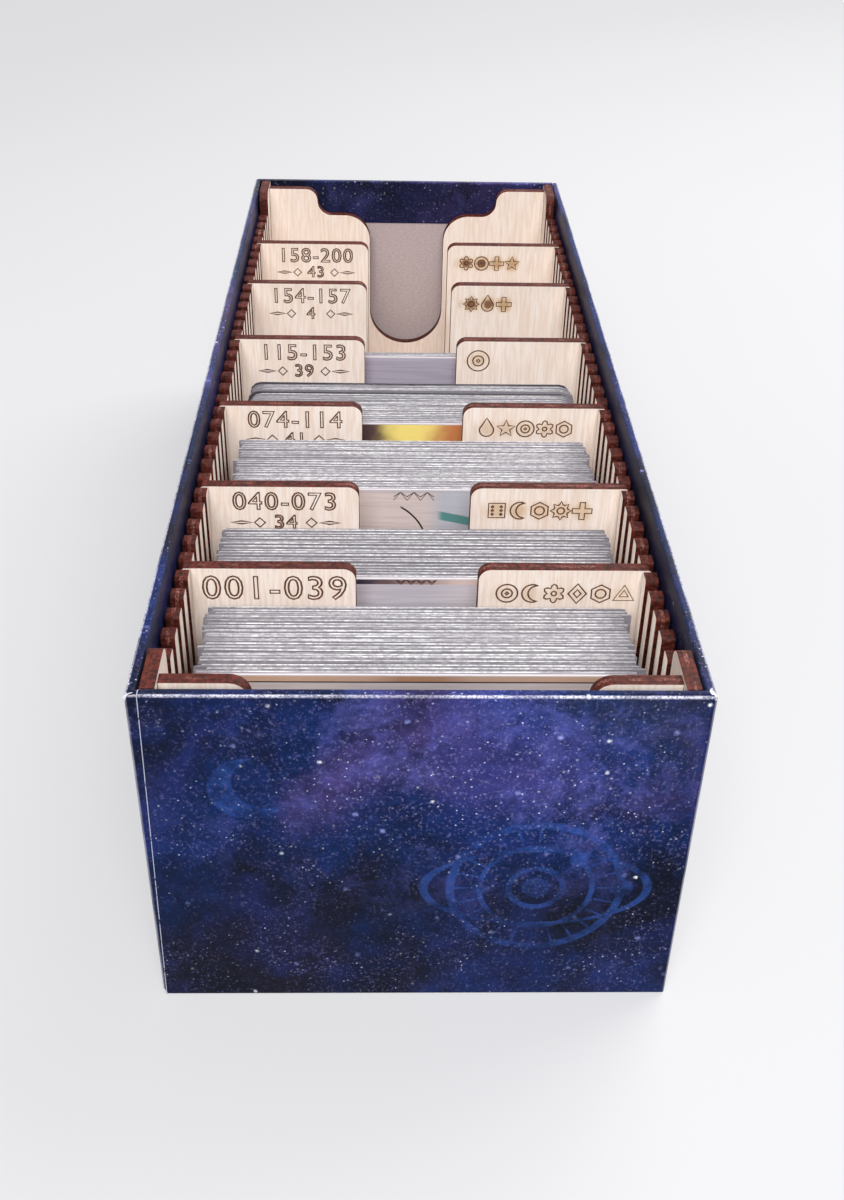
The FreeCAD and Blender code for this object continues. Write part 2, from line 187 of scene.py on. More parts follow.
# %% Camera
SENSOR_MM = 24.0
LENS_MM = 27.08
CAMERA_PLACE = (-0.0067, -0.3396, 0.2386)
LOOK_DOWN = math.radians(34.92)
LOOK_RIGHT = math.radians(1.84)
ROLL = math.radians(1.34)

camera_data = bpy.data.cameras.new("camera")
camera_data.sensor_fit = "VERTICAL"
camera_data.sensor_height = SENSOR_MM
camera_data.lens = LENS_MM
camera_data.clip_start = 0.01
camera = bpy.data.objects.new("camera", camera_data)
bpy.context.scene.collection.objects.link(camera)
turn = Matrix.Rotation(-LOOK_RIGHT, 4, "Z") @ Matrix.Rotation(math.pi / 2 - LOOK_DOWN, 4, "X")
camera.matrix_world = Matrix.Translation(CAMERA_PLACE) @ turn @ Matrix.Rotation(ROLL, 4, "Z")
bpy.context.scene.camera = camera
view_angle = math.degrees(2 * math.atan(SENSOR_MM / 2 / LENS_MM))
print("the view is %.1f degrees high" % view_angle)

# %% [markdown]
# ## Writing a finish as a recipe
# A material is a tree of nodes. Adding each node by hand takes many lines, so this small class
# keeps the tree and adds one node per call: noise, cells, a soft step, a blend of two colours.
# A recipe then reads like a painter's notes. All patterns use Object coordinates. Every piece sits
# unturned at the origin, so those are metres in the object's own frame, and a pattern stays put.

# %% A class that paints with nodes
def ink(red, green, blue):
    """A screen colour, 0 to 255, as the linear colour that a shader takes."""
    def linear(level):
        """A screen level as a share of full light."""
        level /= 255
        return level / 12.92 if level <= 0.04045 else ((level + 0.055) / 1.055) ** 2.4
    return (linear(red), linear(green), linear(blue), 1.0)


class Paint:
    """A material whose nodes are added one call at a time."""

    def __init__(self, name, roughness, specular=0.5):
        self.material = bpy.data.materials.new(name)
        self.material.use_nodes = True
        self.tree = self.material.node_tree
        self.shader = self.tree.nodes["Principled BSDF"]
        self.shader.inputs["Roughness"].default_value = roughness
        self.shader.inputs["Specular IOR Level"].default_value = specular
        self.place = self.add("ShaderNodeTexCoord").outputs["Object"]
        split = self.add("ShaderNodeSeparateXYZ")
        self.feed(split.inputs[0], self.place)
        self.x, self.y, self.z = split.outputs

    def add(self, kind, **settings):
        """A new node of one kind, with its settings made."""
        node = self.tree.nodes.new(kind)
        for key, setting in settings.items():
            setattr(node, key, setting)
        return node

    def feed(self, socket, source):
        """Link a socket to another node's, or set it to a plain number or colour."""
        if isinstance(source, bpy.types.NodeSocket):
            self.tree.links.new(source, socket)
        else:
            socket.default_value = source

    def math(self, operation, first, second=0.0):
        """One sum: ADD, SUBTRACT, MAXIMUM and so on."""
        node = self.add("ShaderNodeMath", operation=operation)
        self.feed(node.inputs[0], first)
        self.feed(node.inputs[1], second)
        return node.outputs[0]

    def stretched(self, stretch, shift=(0, 0, 0)):
        """Object coordinates, stretched along each axis."""
        node = self.add("ShaderNodeMapping")
        self.feed(node.inputs["Vector"], self.place)
        node.inputs["Scale"].default_value = stretch
        node.inputs["Location"].default_value = shift
        return node.outputs[0]

    def noise(self, scale, detail=2.0, stretch=(1, 1, 1), shift=(0, 0, 0), distortion=0.0,
              crisp=0.5, along=None):
        """Cloudy noise from 0 to 1; scale is in waves per metre, and crisp sharpens it."""
        node = self.add("ShaderNodeTexNoise")
        self.feed(node.inputs["Vector"], along or self.stretched(stretch, shift))
        node.inputs["Scale"].default_value = scale
        node.inputs["Detail"].default_value = detail
        node.inputs["Roughness"].default_value = crisp
        node.inputs["Distortion"].default_value = distortion
        return node.outputs["Fac"]

    def cells(self, scale, shift):
        """Distance to the nearest of many scattered points, and that point's own colour."""
        node = self.add("ShaderNodeTexVoronoi")
        self.feed(node.inputs["Vector"], self.stretched((1, 1, 1), shift))
        node.inputs["Scale"].default_value = scale
        return node.outputs["Distance"], node.outputs["Color"]

    def own(self, name):
        """A number that the mesh stores on its points or faces."""
        return self.add("ShaderNodeAttribute", attribute_name=name).outputs["Fac"]

    def step(self, source, low, high, start=0.0, end=1.0):
        """A smooth step: start below low, end above high."""
        node = self.add("ShaderNodeMapRange", interpolation_type="SMOOTHSTEP")
        self.feed(node.inputs["Value"], source)
        settings = {"From Min": low, "From Max": high, "To Min": start, "To Max": end}
        for name, number in settings.items():
            node.inputs[name].default_value = number
        return node.outputs["Result"]

    def band(self, source, middle, half, soft):
        """1 within half of the middle, falling to 0 over the soft distance."""
        away = self.math("ABSOLUTE", self.math("SUBTRACT", source, middle))
        return self.step(away, half, half + soft, 1.0, 0.0)

    def blend(self, factor, first, second, mode="MIX"):
        """The first colour where the factor is 0, the second where it is 1."""
        node = self.add("ShaderNodeMix", data_type="RGBA", blend_type=mode)
        self.feed(node.inputs[0], factor)
        self.feed(node.inputs[6], first)
        self.feed(node.inputs[7], second)
        return node.outputs[2]

    def times(self, *factors):
        """The product of several masks."""
        product = factors[0]
        for factor in factors[1:]:
            product = self.math("MULTIPLY", product, factor)
        return product

    def either(self, *masks):
        """The strongest of several masks at each point."""
        strongest = masks[0]
        for mask in masks[1:]:
            strongest = self.math("MAXIMUM", strongest, mask)
        return strongest

    def shaded(self, colour, brightness):
        """A colour times a brightness that changes from point to point."""
        grey = self.add("ShaderNodeCombineColor")
        for channel in grey.inputs:
            self.feed(channel, brightness)
        return self.blend(1.0, colour, grey.outputs[0], "MULTIPLY")

    def colour(self, source):
        """Take a colour as the finish's own."""
        self.feed(self.shader.inputs["Base Color"], source)

    def rough(self, source, low, high):
        """Roughness that follows a mask."""
        self.feed(self.shader.inputs["Roughness"], self.step(source, 0.0, 1.0, low, high))

    def relief(self, height, depth):
        """Bump whose full height is the depth, in metres."""
        node = self.add("ShaderNodeBump")
        self.feed(node.inputs["Height"], height)
        node.inputs["Distance"].default_value = depth
        self.feed(self.shader.inputs["Normal"], node.outputs[0])


print("a screen grey of 128 is %.3f of full light" % ink(128, 128, 128)[0])

# %% [markdown]
# ## Floor, light and background
# The object is shown as in a plain studio: a pale floor, a soft lamp near and above the camera, and
# a weak one from the back right. The near lamp lights the front more than the far end, as a lamp
# beside the viewer does. Both are sized like softboxes, so shadows are soft. The world adds an
# even fill, and is white only where it is seen directly or in a reflection. The floor glows a
# little where it is seen directly, and fades to the white of the background far from the object,
# so that it has no visible end. It is darker for the light that it throws back, because a bright
# floor would wash out the lower walls. Places and sizes here are in metres, and powers in watts.

# %% Floor
FLOOR_HALF = 3.0
FLOOR_GLOW = 0.5
FADE_START = 0.45
FADE_END = 2.2


def seen_directly(tree):
    """1 for what the camera, a reflection or clear film sees directly, else 0."""
    path = tree.nodes.new("ShaderNodeLightPath")
    either = path.outputs["Is Camera Ray"]
    for ray in ("Is Glossy Ray", "Is Transmission Ray"):
        node = tree.nodes.new("ShaderNodeMath")
        node.operation = "MAXIMUM"
        tree.links.new(either, node.inputs[0])
        tree.links.new(path.outputs[ray], node.inputs[1])
        either = node.outputs[0]
    return either


clear_selection()
bpy.ops.mesh.primitive_plane_add(size=2 * FLOOR_HALF, location=(0, 0, 0))
floor = bpy.context.object
floor.name = "floor"
floor_paint = Paint("pale_floor", roughness=0.85, specular=0.1)
pale = floor_paint.blend(floor_paint.noise(3.0, 1.0), ink(210, 210, 213), ink(220, 220, 222))
direct = seen_directly(floor_paint.tree)
floor_paint.colour(floor_paint.blend(direct, ink(132, 132, 134), pale))
from_middle = floor_paint.add("ShaderNodeVectorMath", operation="LENGTH")
floor_paint.feed(from_middle.inputs[0], floor_paint.place)
far = floor_paint.step(from_middle.outputs["Value"], FADE_START, FADE_END)
glow = floor_paint.add("ShaderNodeEmission")
glow_colour = floor_paint.blend(far, ink(232, 232, 234), ink(255, 255, 255))
floor_paint.feed(glow.inputs["Color"], glow_colour)
share = floor_paint.math("ADD", FLOOR_GLOW, floor_paint.math("MULTIPLY", far, 1 - FLOOR_GLOW))
cover = floor_paint.add("ShaderNodeMixShader")
floor_paint.feed(cover.inputs[0], floor_paint.times(share, direct))
floor_paint.feed(cover.inputs[1], floor_paint.shader.outputs[0])
floor_paint.feed(cover.inputs[2], glow.outputs[0])
surface = floor_paint.tree.nodes["Material Output"].inputs["Surface"]
floor_paint.feed(surface, cover.outputs[0])
floor.data.materials.append(floor_paint.material)
floor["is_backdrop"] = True
print("floor: %.0f m wide" % floor.dimensions.x)

# %% Lamps and background
KEY_PLACE = (-0.08, -1.10, 1.15)
KEY_SIZE = 1.0
KEY_POWER = 27.5
BACK_PLACE = (0.55, 0.45, 0.80)
BACK_SIZE = 0.8
BACK_POWER = 9.0
FILL_STRENGTH = 0.27


def add_softbox(name, place, size, power):
    """A square lamp that is turned towards the object."""
    data = bpy.data.lights.new(name, "AREA")
    data.size = size
    data.energy = power
    lamp = bpy.data.objects.new(name, data)
    bpy.context.scene.collection.objects.link(lamp)
    lamp.location = place
    lamp.rotation_euler = (-Vector(place)).to_track_quat("-Z", "Y").to_euler()
    print("%-10s %4.1f W, %.2f m away" % (name, power, Vector(place).length))


add_softbox("key_light", KEY_PLACE, KEY_SIZE, KEY_POWER)
add_softbox("back_light", BACK_PLACE, BACK_SIZE, BACK_POWER)

world = bpy.data.worlds.new("studio")
bpy.context.scene.world = world
world.use_nodes = True
sky = world.node_tree.nodes["Background"]
strength = world.node_tree.nodes.new("ShaderNodeMapRange")
world.node_tree.links.new(seen_directly(world.node_tree), strength.inputs["Value"])
strength.inputs["To Min"].default_value = FILL_STRENGTH
strength.inputs["To Max"].default_value = 1.0
world.node_tree.links.new(strength.outputs["Result"], sky.inputs["Strength"])
sky.inputs["Color"].default_value = (1, 1, 1, 1)
bpy.context.scene.view_settings.view_transform = "Standard"

# %% [markdown]
# ## The printed paper: a night sky
# The tray is covered with glossy paper that is printed with a night sky: dark blue with violet
# clouds, thousands of small stars and a faint star chart. A print is ink in the paper, so it is
# all colour, and only the paper's own fine grain is a bump. The print is built up from the back to
# the front: clouds, then the chart, then stars, then painted shade on the turned-in paper, and on
# top wear mixed with a painted highlight along the rim. The clouds are layers of noise.
# Their glow is strongest on the upper front, and patches of it lie on the other sides.

# %% Clouds of the print
FRONT_Y = cad_low.y
GLOW_MIDDLE = (10 * MM, FRONT_Y, 62 * MM)
GLOW_STRETCH = (0.75, 0.5, 1.35)


def sphere_distance(paint, middle, stretch=(1, 1, 1)):
    """Distance from a point, for rings and discs."""
    node = paint.add("ShaderNodeVectorMath", operation="DISTANCE")
    paint.feed(node.inputs[0], paint.stretched(stretch))
    node.inputs[1].default_value = [a * b for a, b in zip(middle, stretch)]
    return node.outputs["Value"]


def cloud_glow(paint):
    """How strongly the clouds glow: on the upper front, and in patches off the front."""
    away = sphere_distance(paint, GLOW_MIDDLE, GLOW_STRETCH)
    upper_front = paint.step(away, 8 * MM, 56 * MM, 0.27, 0.0)
    patches = paint.step(paint.noise(10.0, 3.0, shift=(5, 5, 2)), 0.50, 0.68, 0.0, 0.28)
    off_the_front = paint.step(paint.y, FRONT_Y + 1.0 * MM, FRONT_Y + 22.5 * MM)
    return paint.either(upper_front, paint.times(patches, off_the_front))


def night_clouds(paint, glow):
    """Blue and violet clouds on near black, with dark rifts, pale wisps and dim red embers."""
    clouds = paint.noise(22.0, 9.0, shift=(0.3, 0.1, 0.75), distortion=0.5, crisp=0.62)
    lean = paint.math("ADD", clouds, glow)
    sky_colour = paint.blend(paint.step(lean, 0.42, 0.66), ink(5, 11, 28), ink(10, 33, 80))
    sky_colour = paint.blend(paint.step(lean, 0.62, 0.90), sky_colour, ink(64, 54, 106))
    rifts = paint.noise(30.0, 9.0, shift=(2, 5, 1), distortion=0.5, crisp=0.65)
    rift_mask = paint.times(paint.step(rifts, 0.49, 0.64), 0.72)
    sky_colour = paint.blend(rift_mask, sky_colour, ink(14, 14, 30))
    wisps = paint.noise(70.0, 9.0, shift=(7, 1, 3), distortion=0.4, crisp=0.74)
    wisp_share = paint.math("ADD", paint.math("MULTIPLY", glow, 1.7), 0.08)
    wisp_mask = paint.times(paint.step(wisps, 0.50, 0.64), wisp_share)
    sky_colour = paint.blend(wisp_mask, sky_colour, ink(80, 84, 156))
    embers = paint.noise(26.0, 7.0, shift=(1, 9, 4), crisp=0.6)
    ember_share = paint.step(glow, 0.02, 0.16, 0.06, 0.42)
    ember_mask = paint.times(paint.step(embers, 0.50, 0.66), ember_share)
    sky_colour = paint.blend(ember_mask, sky_colour, ink(60, 34, 64))
    grunge = paint.noise(240.0, 6.0, shift=(3, 6, 9), crisp=0.72)
    return paint.shaded(sky_colour, paint.step(grunge, 0.34, 0.66, 0.70, 1.30))


print("the glow's middle is %.0f mm up the front" % (GLOW_MIDDLE[2] / MM))

# %% [markdown]
# ## The star chart
# A chart is drawn over the clouds in faint blue. Its rings are thin spherical shells round a point
# on the front, which cut the flat wall in circles. The ring that is wider than it is high is such
# a shell in stretched coordinates. Discs are planets, and the moon is a disc with a bite taken out
# of it. Each mark is a mask, and the strongest of them wins at every point.

# %% Star chart of the print
CHART_MIDDLE = (24 * MM, FRONT_Y, 33 * MM)
CHART_SOFT = 0.3 * MM
# each ring's radius and half width, then each planet's place across and up and its radius, in mm
CHART_RINGS = ((17.5, 0.7), (11.5, 0.4), (5.5, 0.5))
CHART_PLANETS = ((17.5, 0.0, 2.2), (-11.5, 0.0, 1.5), (8.2, 8.0, 1.7), (0.0, 0.0, 2.6))
CHART_TICKS = 24
OVAL_STRETCH = (0.62, 1, 1.35)
OVAL_RADIUS = 14.2 * MM
MOON_MIDDLE = (-33 * MM, FRONT_Y, 60 * MM)
MOON_RADIUS = 7.5 * MM
BITE_MIDDLE = (-29.6 * MM, FRONT_Y, 61.6 * MM)
BITE_RADIUS = 6.2 * MM
MOON_SOFT = 0.6 * MM


def chart_mask(paint):
    """Rings, ticks and small planets in one corner of the front, and a moon in another."""
    away = sphere_distance(paint, CHART_MIDDLE)
    marks = [paint.band(away, radius * MM, half * MM, CHART_SOFT) for radius, half in CHART_RINGS]
    angle = paint.math("ARCTAN2", paint.math("SUBTRACT", paint.z, CHART_MIDDLE[2]),
                       paint.math("SUBTRACT", paint.x, CHART_MIDDLE[0]))
    turn_part = paint.math("MULTIPLY", angle, CHART_TICKS / (2 * math.pi))
    spokes = paint.step(paint.math("PINGPONG", turn_part, 0.5), 0.04, 0.09, 1.0, 0.0)
    marks.append(paint.times(spokes, paint.band(away, 15.0 * MM, 2.4 * MM, 0.2 * MM)))
    oval = sphere_distance(paint, CHART_MIDDLE, OVAL_STRETCH)
    marks.append(paint.band(oval, OVAL_RADIUS, 0.4 * MM, CHART_SOFT))
    for across, up, radius in CHART_PLANETS:
        middle = (CHART_MIDDLE[0] + across * MM, FRONT_Y, CHART_MIDDLE[2] + up * MM)
        planet_distance = sphere_distance(paint, middle)
        marks.append(paint.step(planet_distance, radius * MM, (radius + 0.4) * MM, 1.0, 0.0))
    moon = paint.step(sphere_distance(paint, MOON_MIDDLE), MOON_RADIUS, MOON_RADIUS + MOON_SOFT,
                      1.0, 0.0)
    past_bite = paint.step(sphere_distance(paint, BITE_MIDDLE), BITE_RADIUS,
                           BITE_RADIUS + MOON_SOFT)
    marks.append(paint.times(moon, past_bite))
    return paint.either(*marks)


print("chart: %d rings, %d ticks and %d planets"
      % (len(CHART_RINGS) + 1, CHART_TICKS, len(CHART_PLANETS)))

# %% [markdown]
# ## Stars
# A star is a point of a Voronoi texture: where the distance to a point is small, there is one. Each
# layer has cells of one size, and only a share of its cells is lit. Five layers give small,
# middling and bright stars. All but the last crowd together in patches and in the glow, as stars
# do in the Milky Way, and a fine dust of stars too small to tell apart lies between them.

# %% Stars of the print
# each layer's cell and star radius, share of cells lit, colour, shift, and whether it crowds
STAR_LAYERS = (
    (0.72 * MM, 0.19 * MM, 0.70, ink(178, 182, 242), (0, 0, 0), True),
    (1.25 * MM, 0.29 * MM, 0.85, ink(222, 226, 255), (1, 2, 0), True),
    (2.30 * MM, 0.42 * MM, 0.85, ink(230, 238, 255), (0, 3, 1), True),
    (5.60 * MM, 0.95 * MM, 0.80, ink(146, 156, 220), (2, 0, 1), True),
    (7.00 * MM, 0.74 * MM, 0.85, ink(238, 244, 255), (4, 1, 1), False))


def star_mask(paint, cell, radius, share, shift):
    """Round stars with ragged rims: one per cell, with only a share of the cells lit."""
    distance, key = paint.cells(1 / cell, shift)
    ragged = paint.math("MULTIPLY", paint.noise(1.3 / radius, 2.0), 0.9 * radius / cell)
    distance = paint.math("ADD", distance, ragged)
    dot = paint.step(distance, radius / cell * 0.45, radius / cell * 1.35, 1.0, 0.0)
    parts = paint.add("ShaderNodeSeparateColor")
    paint.feed(parts.inputs[0], key)
    lit = paint.step(parts.outputs[0], 1 - share, 1 - share * 0.4)
    brightness = paint.step(parts.outputs[1], 0.1, 0.7, 0.25, 1.0)
    return paint.times(dot, lit, brightness)


def scatter_stars(paint, sky_colour, glow):
    """Blue haze, star dust and the layers of stars."""
    haze = paint.noise(30.0, 7.0, shift=(6, 2, 8), distortion=0.6, crisp=0.62)
    sky_colour = paint.blend(paint.step(haze, 0.48, 0.78, 0.0, 0.34), sky_colour,
                             ink(52, 68, 156))
    patches = paint.noise(46.0, 5.0, shift=(6, 2, 8), crisp=0.62)
    crowd = paint.either(paint.step(patches, 0.40, 0.66, 0.15, 1.0),
                         paint.math("MULTIPLY", glow, 4.0))
    dust = paint.step(paint.noise(1300.0, 4.0, shift=(4, 4, 4), crisp=0.7), 0.52, 0.72)
    sky_colour = paint.blend(paint.times(dust, crowd, 0.48), sky_colour, ink(132, 128, 192))
    for cell, radius, share, star_ink, shift, crowds in STAR_LAYERS:
        mask = star_mask(paint, cell, radius, share, shift)
        if crowds:
            mask = paint.times(mask, crowd)
        sky_colour = paint.blend(mask, sky_colour, star_ink)
    return sky_colour


front_area = (cad_high.x - cad_low.x) * cad_high.z
for cell, radius, share, star_ink, shift, crowds in STAR_LAYERS:
    most = share * front_area / cell ** 2
    print("cells of %.2f mm: up to %5d stars on the front" % (cell / MM, most))

# %% [markdown]
# ## Wear, painted shade and a painted highlight
# Hands rub the ink off the corners and off the rim, where the white of the paper comes through,
# threadbare at the rim. Along the rim that white is partly wear and partly a painted highlight on
# the glossy fold. The print on the turned-in paper is made darker and duller as painted shade,
# because little light reaches down inside the tray. The masks for all of this come from the
# distance to the box's own outer faces. Along a cut edge the paper has frayed white.

# %% Print finish
def outer_distances(paint):
    """How far each point is outside the box's sides, ends and rim; inside is below 0."""
    out_x = paint.math("SUBTRACT", paint.math("ABSOLUTE", paint.x), cad_high.x)
    out_y = paint.math("SUBTRACT", paint.math("ABSOLUTE", paint.y), cad_high.y)
    return out_x, out_y, paint.math("SUBTRACT", paint.z, cad_high.z)


def paint_inside_shade(paint, sky_colour):
    """Painted shade on the turned-in paper below the rim, where little light reaches."""
    out_x, out_y, out_z = outer_distances(paint)
    inside = paint.times(paint.step(out_x, -1.4 * MM, -1.0 * MM, 1.0, 0.0),
                         paint.step(out_y, -1.4 * MM, -1.0 * MM, 1.0, 0.0),
                         paint.step(out_z, -0.8 * MM, -0.3 * MM, 1.0, 0.0))
    # painted shade: the turned-in print is blended a long way towards dark blue-black
    return paint.blend(paint.times(inside, 0.68), sky_colour, ink(20, 22, 40))


def rub_edges_and_highlight_rim(paint, sky_colour):
    """Worn white at the upright corners; along the rim, wear mixed with a painted highlight."""
    out_x, out_y, out_z = outer_distances(paint)
    near_x = paint.step(out_x, -0.6 * MM, -0.15 * MM)
    near_y = paint.step(out_y, -0.6 * MM, -0.15 * MM)
    near_z = paint.step(out_z, -0.7 * MM, -0.10 * MM)
    rub_wear_and_highlight = paint.step(paint.noise(90.0, 4.0, shift=(1, 1, 1)), 0.34, 0.58, 0.45, 1.0)
    thread_wear_and_highlight = paint.step(paint.noise(2300.0, 1.0, shift=(1, 1, 1)), 0.38, 0.58, 0.35, 1.0)
    corner = paint.times(near_x, near_y, rub_wear_and_highlight, 0.45)
    # painted highlight: along the rim the white is partly wear and partly a painted highlight,
    # dotted like light on the paper's fine grain
    rim_wear_and_highlight = paint.times(near_z, paint.either(near_x, near_y), rub_wear_and_highlight, thread_wear_and_highlight)
    return paint.blend(paint.either(corner, rim_wear_and_highlight), sky_colour, ink(224, 224, 244))


def print_finish(name, frayed=False):
    """The night-sky print with its painted shade and highlight, for sound paper or a frayed edge.
    """
    paint = Paint(name, roughness=0.36, specular=0.09)
    glow = cloud_glow(paint)
    sky_colour = night_clouds(paint, glow)
    chart_ink = paint.step(paint.noise(160.0, 6.0, crisp=0.7), 0.38, 0.62, 0.05, 0.34)
    sky_colour = paint.blend(paint.times(chart_mask(paint), chart_ink), sky_colour,
                             ink(58, 98, 186))
    sky_colour = scatter_stars(paint, sky_colour, glow)
    # painted shade on the turned-in paper, then wear and a painted highlight along the rim
    sky_colour = rub_edges_and_highlight_rim(paint, paint_inside_shade(paint, sky_colour))
    if frayed:
        fibres = paint.step(paint.noise(620.0, 3.0, shift=(3, 0, 2)), 0.32, 0.44)
        sky_colour = paint.blend(fibres, sky_colour, ink(186, 186, 206))
    paint.colour(sky_colour)
    paint.relief(paint.noise(1.0, 2.0, stretch=(1500, 1500, 1500)), 0.06 * MM)
    print("%-22s %d nodes" % (name, len(paint.tree.nodes)))
    return paint.material


print_paint = print_finish("printed_sky")
seam_paint = print_finish("printed_sky_cut_edge", frayed=True)

# %% [markdown]
# ## The wrapped tray
# The real tray is greyboard with one big sheet of printed paper glued over it. The paper goes up
# the outside, over the rim and 15 mm down the inside. One closed block makes that shape: its top
# is inset by the wall's thickness and pushed down by the turn-in's depth, and the bottom of that
# pit is deleted, so that the grey board shows below. Bevelled folds catch the light as real ones
# do. Solidify then gives the paper its thickness, growing into the wall.

# %% Wrapped tray
PAPER = 0.1 * MM
WRAP = 0.2 * MM
RIM_WALL = 1.8 * MM
TURN_IN = 15 * MM
OUTER_FOLD = 0.45 * MM
INNER_FOLD = 0.25 * MM

wrap_low, wrap_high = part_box("wrap_sheet")
tray_low = Vector((wrap_low.x, wrap_low.y + PAPER, 0.0))
tray_high = Vector((wrap_high.x, wrap_high.y - PAPER, wrap_high.z - PAPER))
inner_x = tray_high.x - RIM_WALL
inner_y = tray_high.y - RIM_WALL


def on_outer_fold(edge):
    """Whether both ends of an edge lie on two of the tray's outer faces."""
    ends = [vert.co for vert in edge.verts]
    faces = 0
    for axis, low, high in zip(range(3), tray_low, tray_high):
        for bound in (low, high):
            faces += all(abs(end[axis] - bound) < SAME for end in ends)
    return faces >= 2


def on_inner_fold(edge):
    """Whether an edge lies where the rim turns down into the tray."""
    return all(abs(vert.co.z - tray_high.z) < SAME and abs(vert.co.x) < inner_x + SAME
               and abs(vert.co.y) < inner_y + SAME for vert in edge.verts)


wrap = add_block("printed_wrap", tray_low, tray_high)
start_edit(wrap)
pick(wrap, "faces", lambda face: face.normal.z > 0.9)
bpy.ops.mesh.inset(thickness=RIM_WALL)
extrude((0, 0, -TURN_IN))
bpy.ops.mesh.delete(type="FACE")
pick(wrap, "edges", on_outer_fold)
bpy.ops.mesh.bevel(offset=OUTER_FOLD, segments=3, affect="EDGES")
pick(wrap, "edges", on_inner_fold)
bpy.ops.mesh.bevel(offset=INNER_FOLD, segments=2, affect="EDGES")
clear_selection()
apply_modifier(wrap, "SOLIDIFY", thickness=WRAP, offset=-1.0)
wrap.data.materials.append(print_paint)
smooth(wrap)
finish_piece(wrap, "tray", ["wrap_sheet", "base_sheet"])

# %% [markdown]
# ## The end panels' own paper
# Each short wall has a separate strip of the same paper glued over it last. It stops just short
# of the corners, and its cut edge shows as a white line down the left of the front, further in at
# the rim than at the foot. The strip starts as an edge that is extruded up the wall, over the rim
# and down the inside. A narrow border is inset, and the part of it on the left takes the frayed
# white finish of cut paper.

# %% Fold a strip over a wall
STRIP_FOOT = 0.5 * MM
STRIP_LAP = 14.6 * MM
LAP_END = inner_x - 0.3 * MM


def edge_along_foot(name, face_y, foot):
    """A single edge along a short wall's foot: a plane with one side deleted, put in place."""
    clear_selection()
    bpy.ops.mesh.primitive_plane_add(size=1, location=(0, face_y, 0))
    strip = bpy.context.object
    strip.name = name
    start_edit(strip)
    pick(strip, "verts", lambda vert: vert.co.y > 0)
    bpy.ops.mesh.delete(type="VERT")
    clear_selection()
    settle(strip)
    for vert in strip.data.vertices:
        vert.co = (foot[0] if vert.co.x < 0 else foot[1], face_y, STRIP_FOOT)
    return strip


def move_selected(piece, new_x):
    """Give every selected vertex a new x, worked out from its present one."""
    for vert in bmesh.from_edit_mesh(piece.data).verts:
        if vert.select:
            vert.co.x = new_x(vert.co.x)


def fold_over_wall(strip, side, face_y, top):
    """Extrude the edge up the wall, over the rim and down the inside; face it outwards."""
    start_edit(strip)
    bpy.ops.mesh.select_all(action="SELECT")
    extrude((0, 0, tray_high.z - STRIP_FOOT))
    move_selected(strip, lambda x: top[0] if x < 0 else top[1])
    extrude((0, -side * RIM_WALL, 0))
    extrude((0, 0, -STRIP_LAP))
    move_selected(strip, lambda x: max(-LAP_END, min(LAP_END, x)))
    bpy.ops.mesh.select_all(action="SELECT")
    bpy.ops.mesh.normals_make_consistent(inside=False)
    mesh = bmesh.from_edit_mesh(strip.data)
    outside = next(face for face in mesh.faces
                   if abs(face.calc_center_median().y - face_y) < SAME)
    if outside.normal.y * side < 0:
        bpy.ops.mesh.flip_normals()


print("a strip reaches %.1f mm down the inside" % (STRIP_LAP / MM))

# %% Front and back strips
SEAM_BORDER = 0.16 * MM
STRIP_FOLD = 0.4 * MM


def mark_cut_edge(strip, side):
    """Inset a narrow border, and give the half of it on a viewer's left the frayed print."""
    bpy.ops.mesh.select_mode(type="FACE")
    bpy.ops.mesh.inset(thickness=SEAM_BORDER, use_boundary=True)
    bpy.ops.mesh.select_all(action="INVERT")
    strip.data.materials.append(print_paint)
    strip.data.materials.append(seam_paint)
    strip.active_material_index = 1
    bpy.ops.object.material_slot_assign()
    pick(strip, "faces", lambda face: face.calc_center_median().x * side < 0)
    strip.active_material_index = 0
    bpy.ops.object.material_slot_assign()


def on_rim_fold(edge):
    """Whether an edge runs along one of a strip's two folds at the rim."""
    level = all(abs(vert.co.z - tray_high.z) < SAME for vert in edge.verts)
    return level and abs(edge.verts[0].co.y - edge.verts[1].co.y) < SAME


def add_strip(name, side, top, foot):
    """A folded strip; side is -1 for the front, and top and foot are its left and right ends."""
    face_y = side * tray_high.y
    strip = edge_along_foot(name, face_y, foot)
    fold_over_wall(strip, side, face_y, top)
    mark_cut_edge(strip, side)
    pick(strip, "edges", on_rim_fold)
    bpy.ops.mesh.bevel(offset=STRIP_FOLD, segments=3, affect="EDGES")
    clear_selection()
    apply_modifier(strip, "SOLIDIFY", thickness=PAPER, offset=1.0)
    smooth(strip)
    finish_piece(strip, "tray", [])


add_strip("front_paper", -1, top=(-52.0 * MM, 53.7 * MM), foot=(-53.75 * MM, 53.9 * MM))
add_strip("back_paper", 1, top=(-53.4 * MM, 52.6 * MM), foot=(-53.8 * MM, 53.6 * MM))

# %% [markdown]
# ## Torn corners
# Where the strip meets the corners of the front rim, the paper has torn and curled up, and its
# white inside shows. Each flake is a grid a few faces long, drawn along a short curve, narrow at
# its tip, and given the thickness of paper.

# %% Torn flakes of paper
FLAKE_THICKNESS = 0.12 * MM
torn_paint = Paint("torn_white_paper", roughness=0.85, specular=0.2)
fuzz = torn_paint.noise(2400.0, 3.0, crisp=0.65)
torn_white = torn_paint.blend(torn_paint.step(fuzz, 0.3, 0.7), ink(198, 198, 214),
                              ink(244, 243, 248))
torn_paint.colour(torn_white)
torn_paint.relief(fuzz, 0.08 * MM)


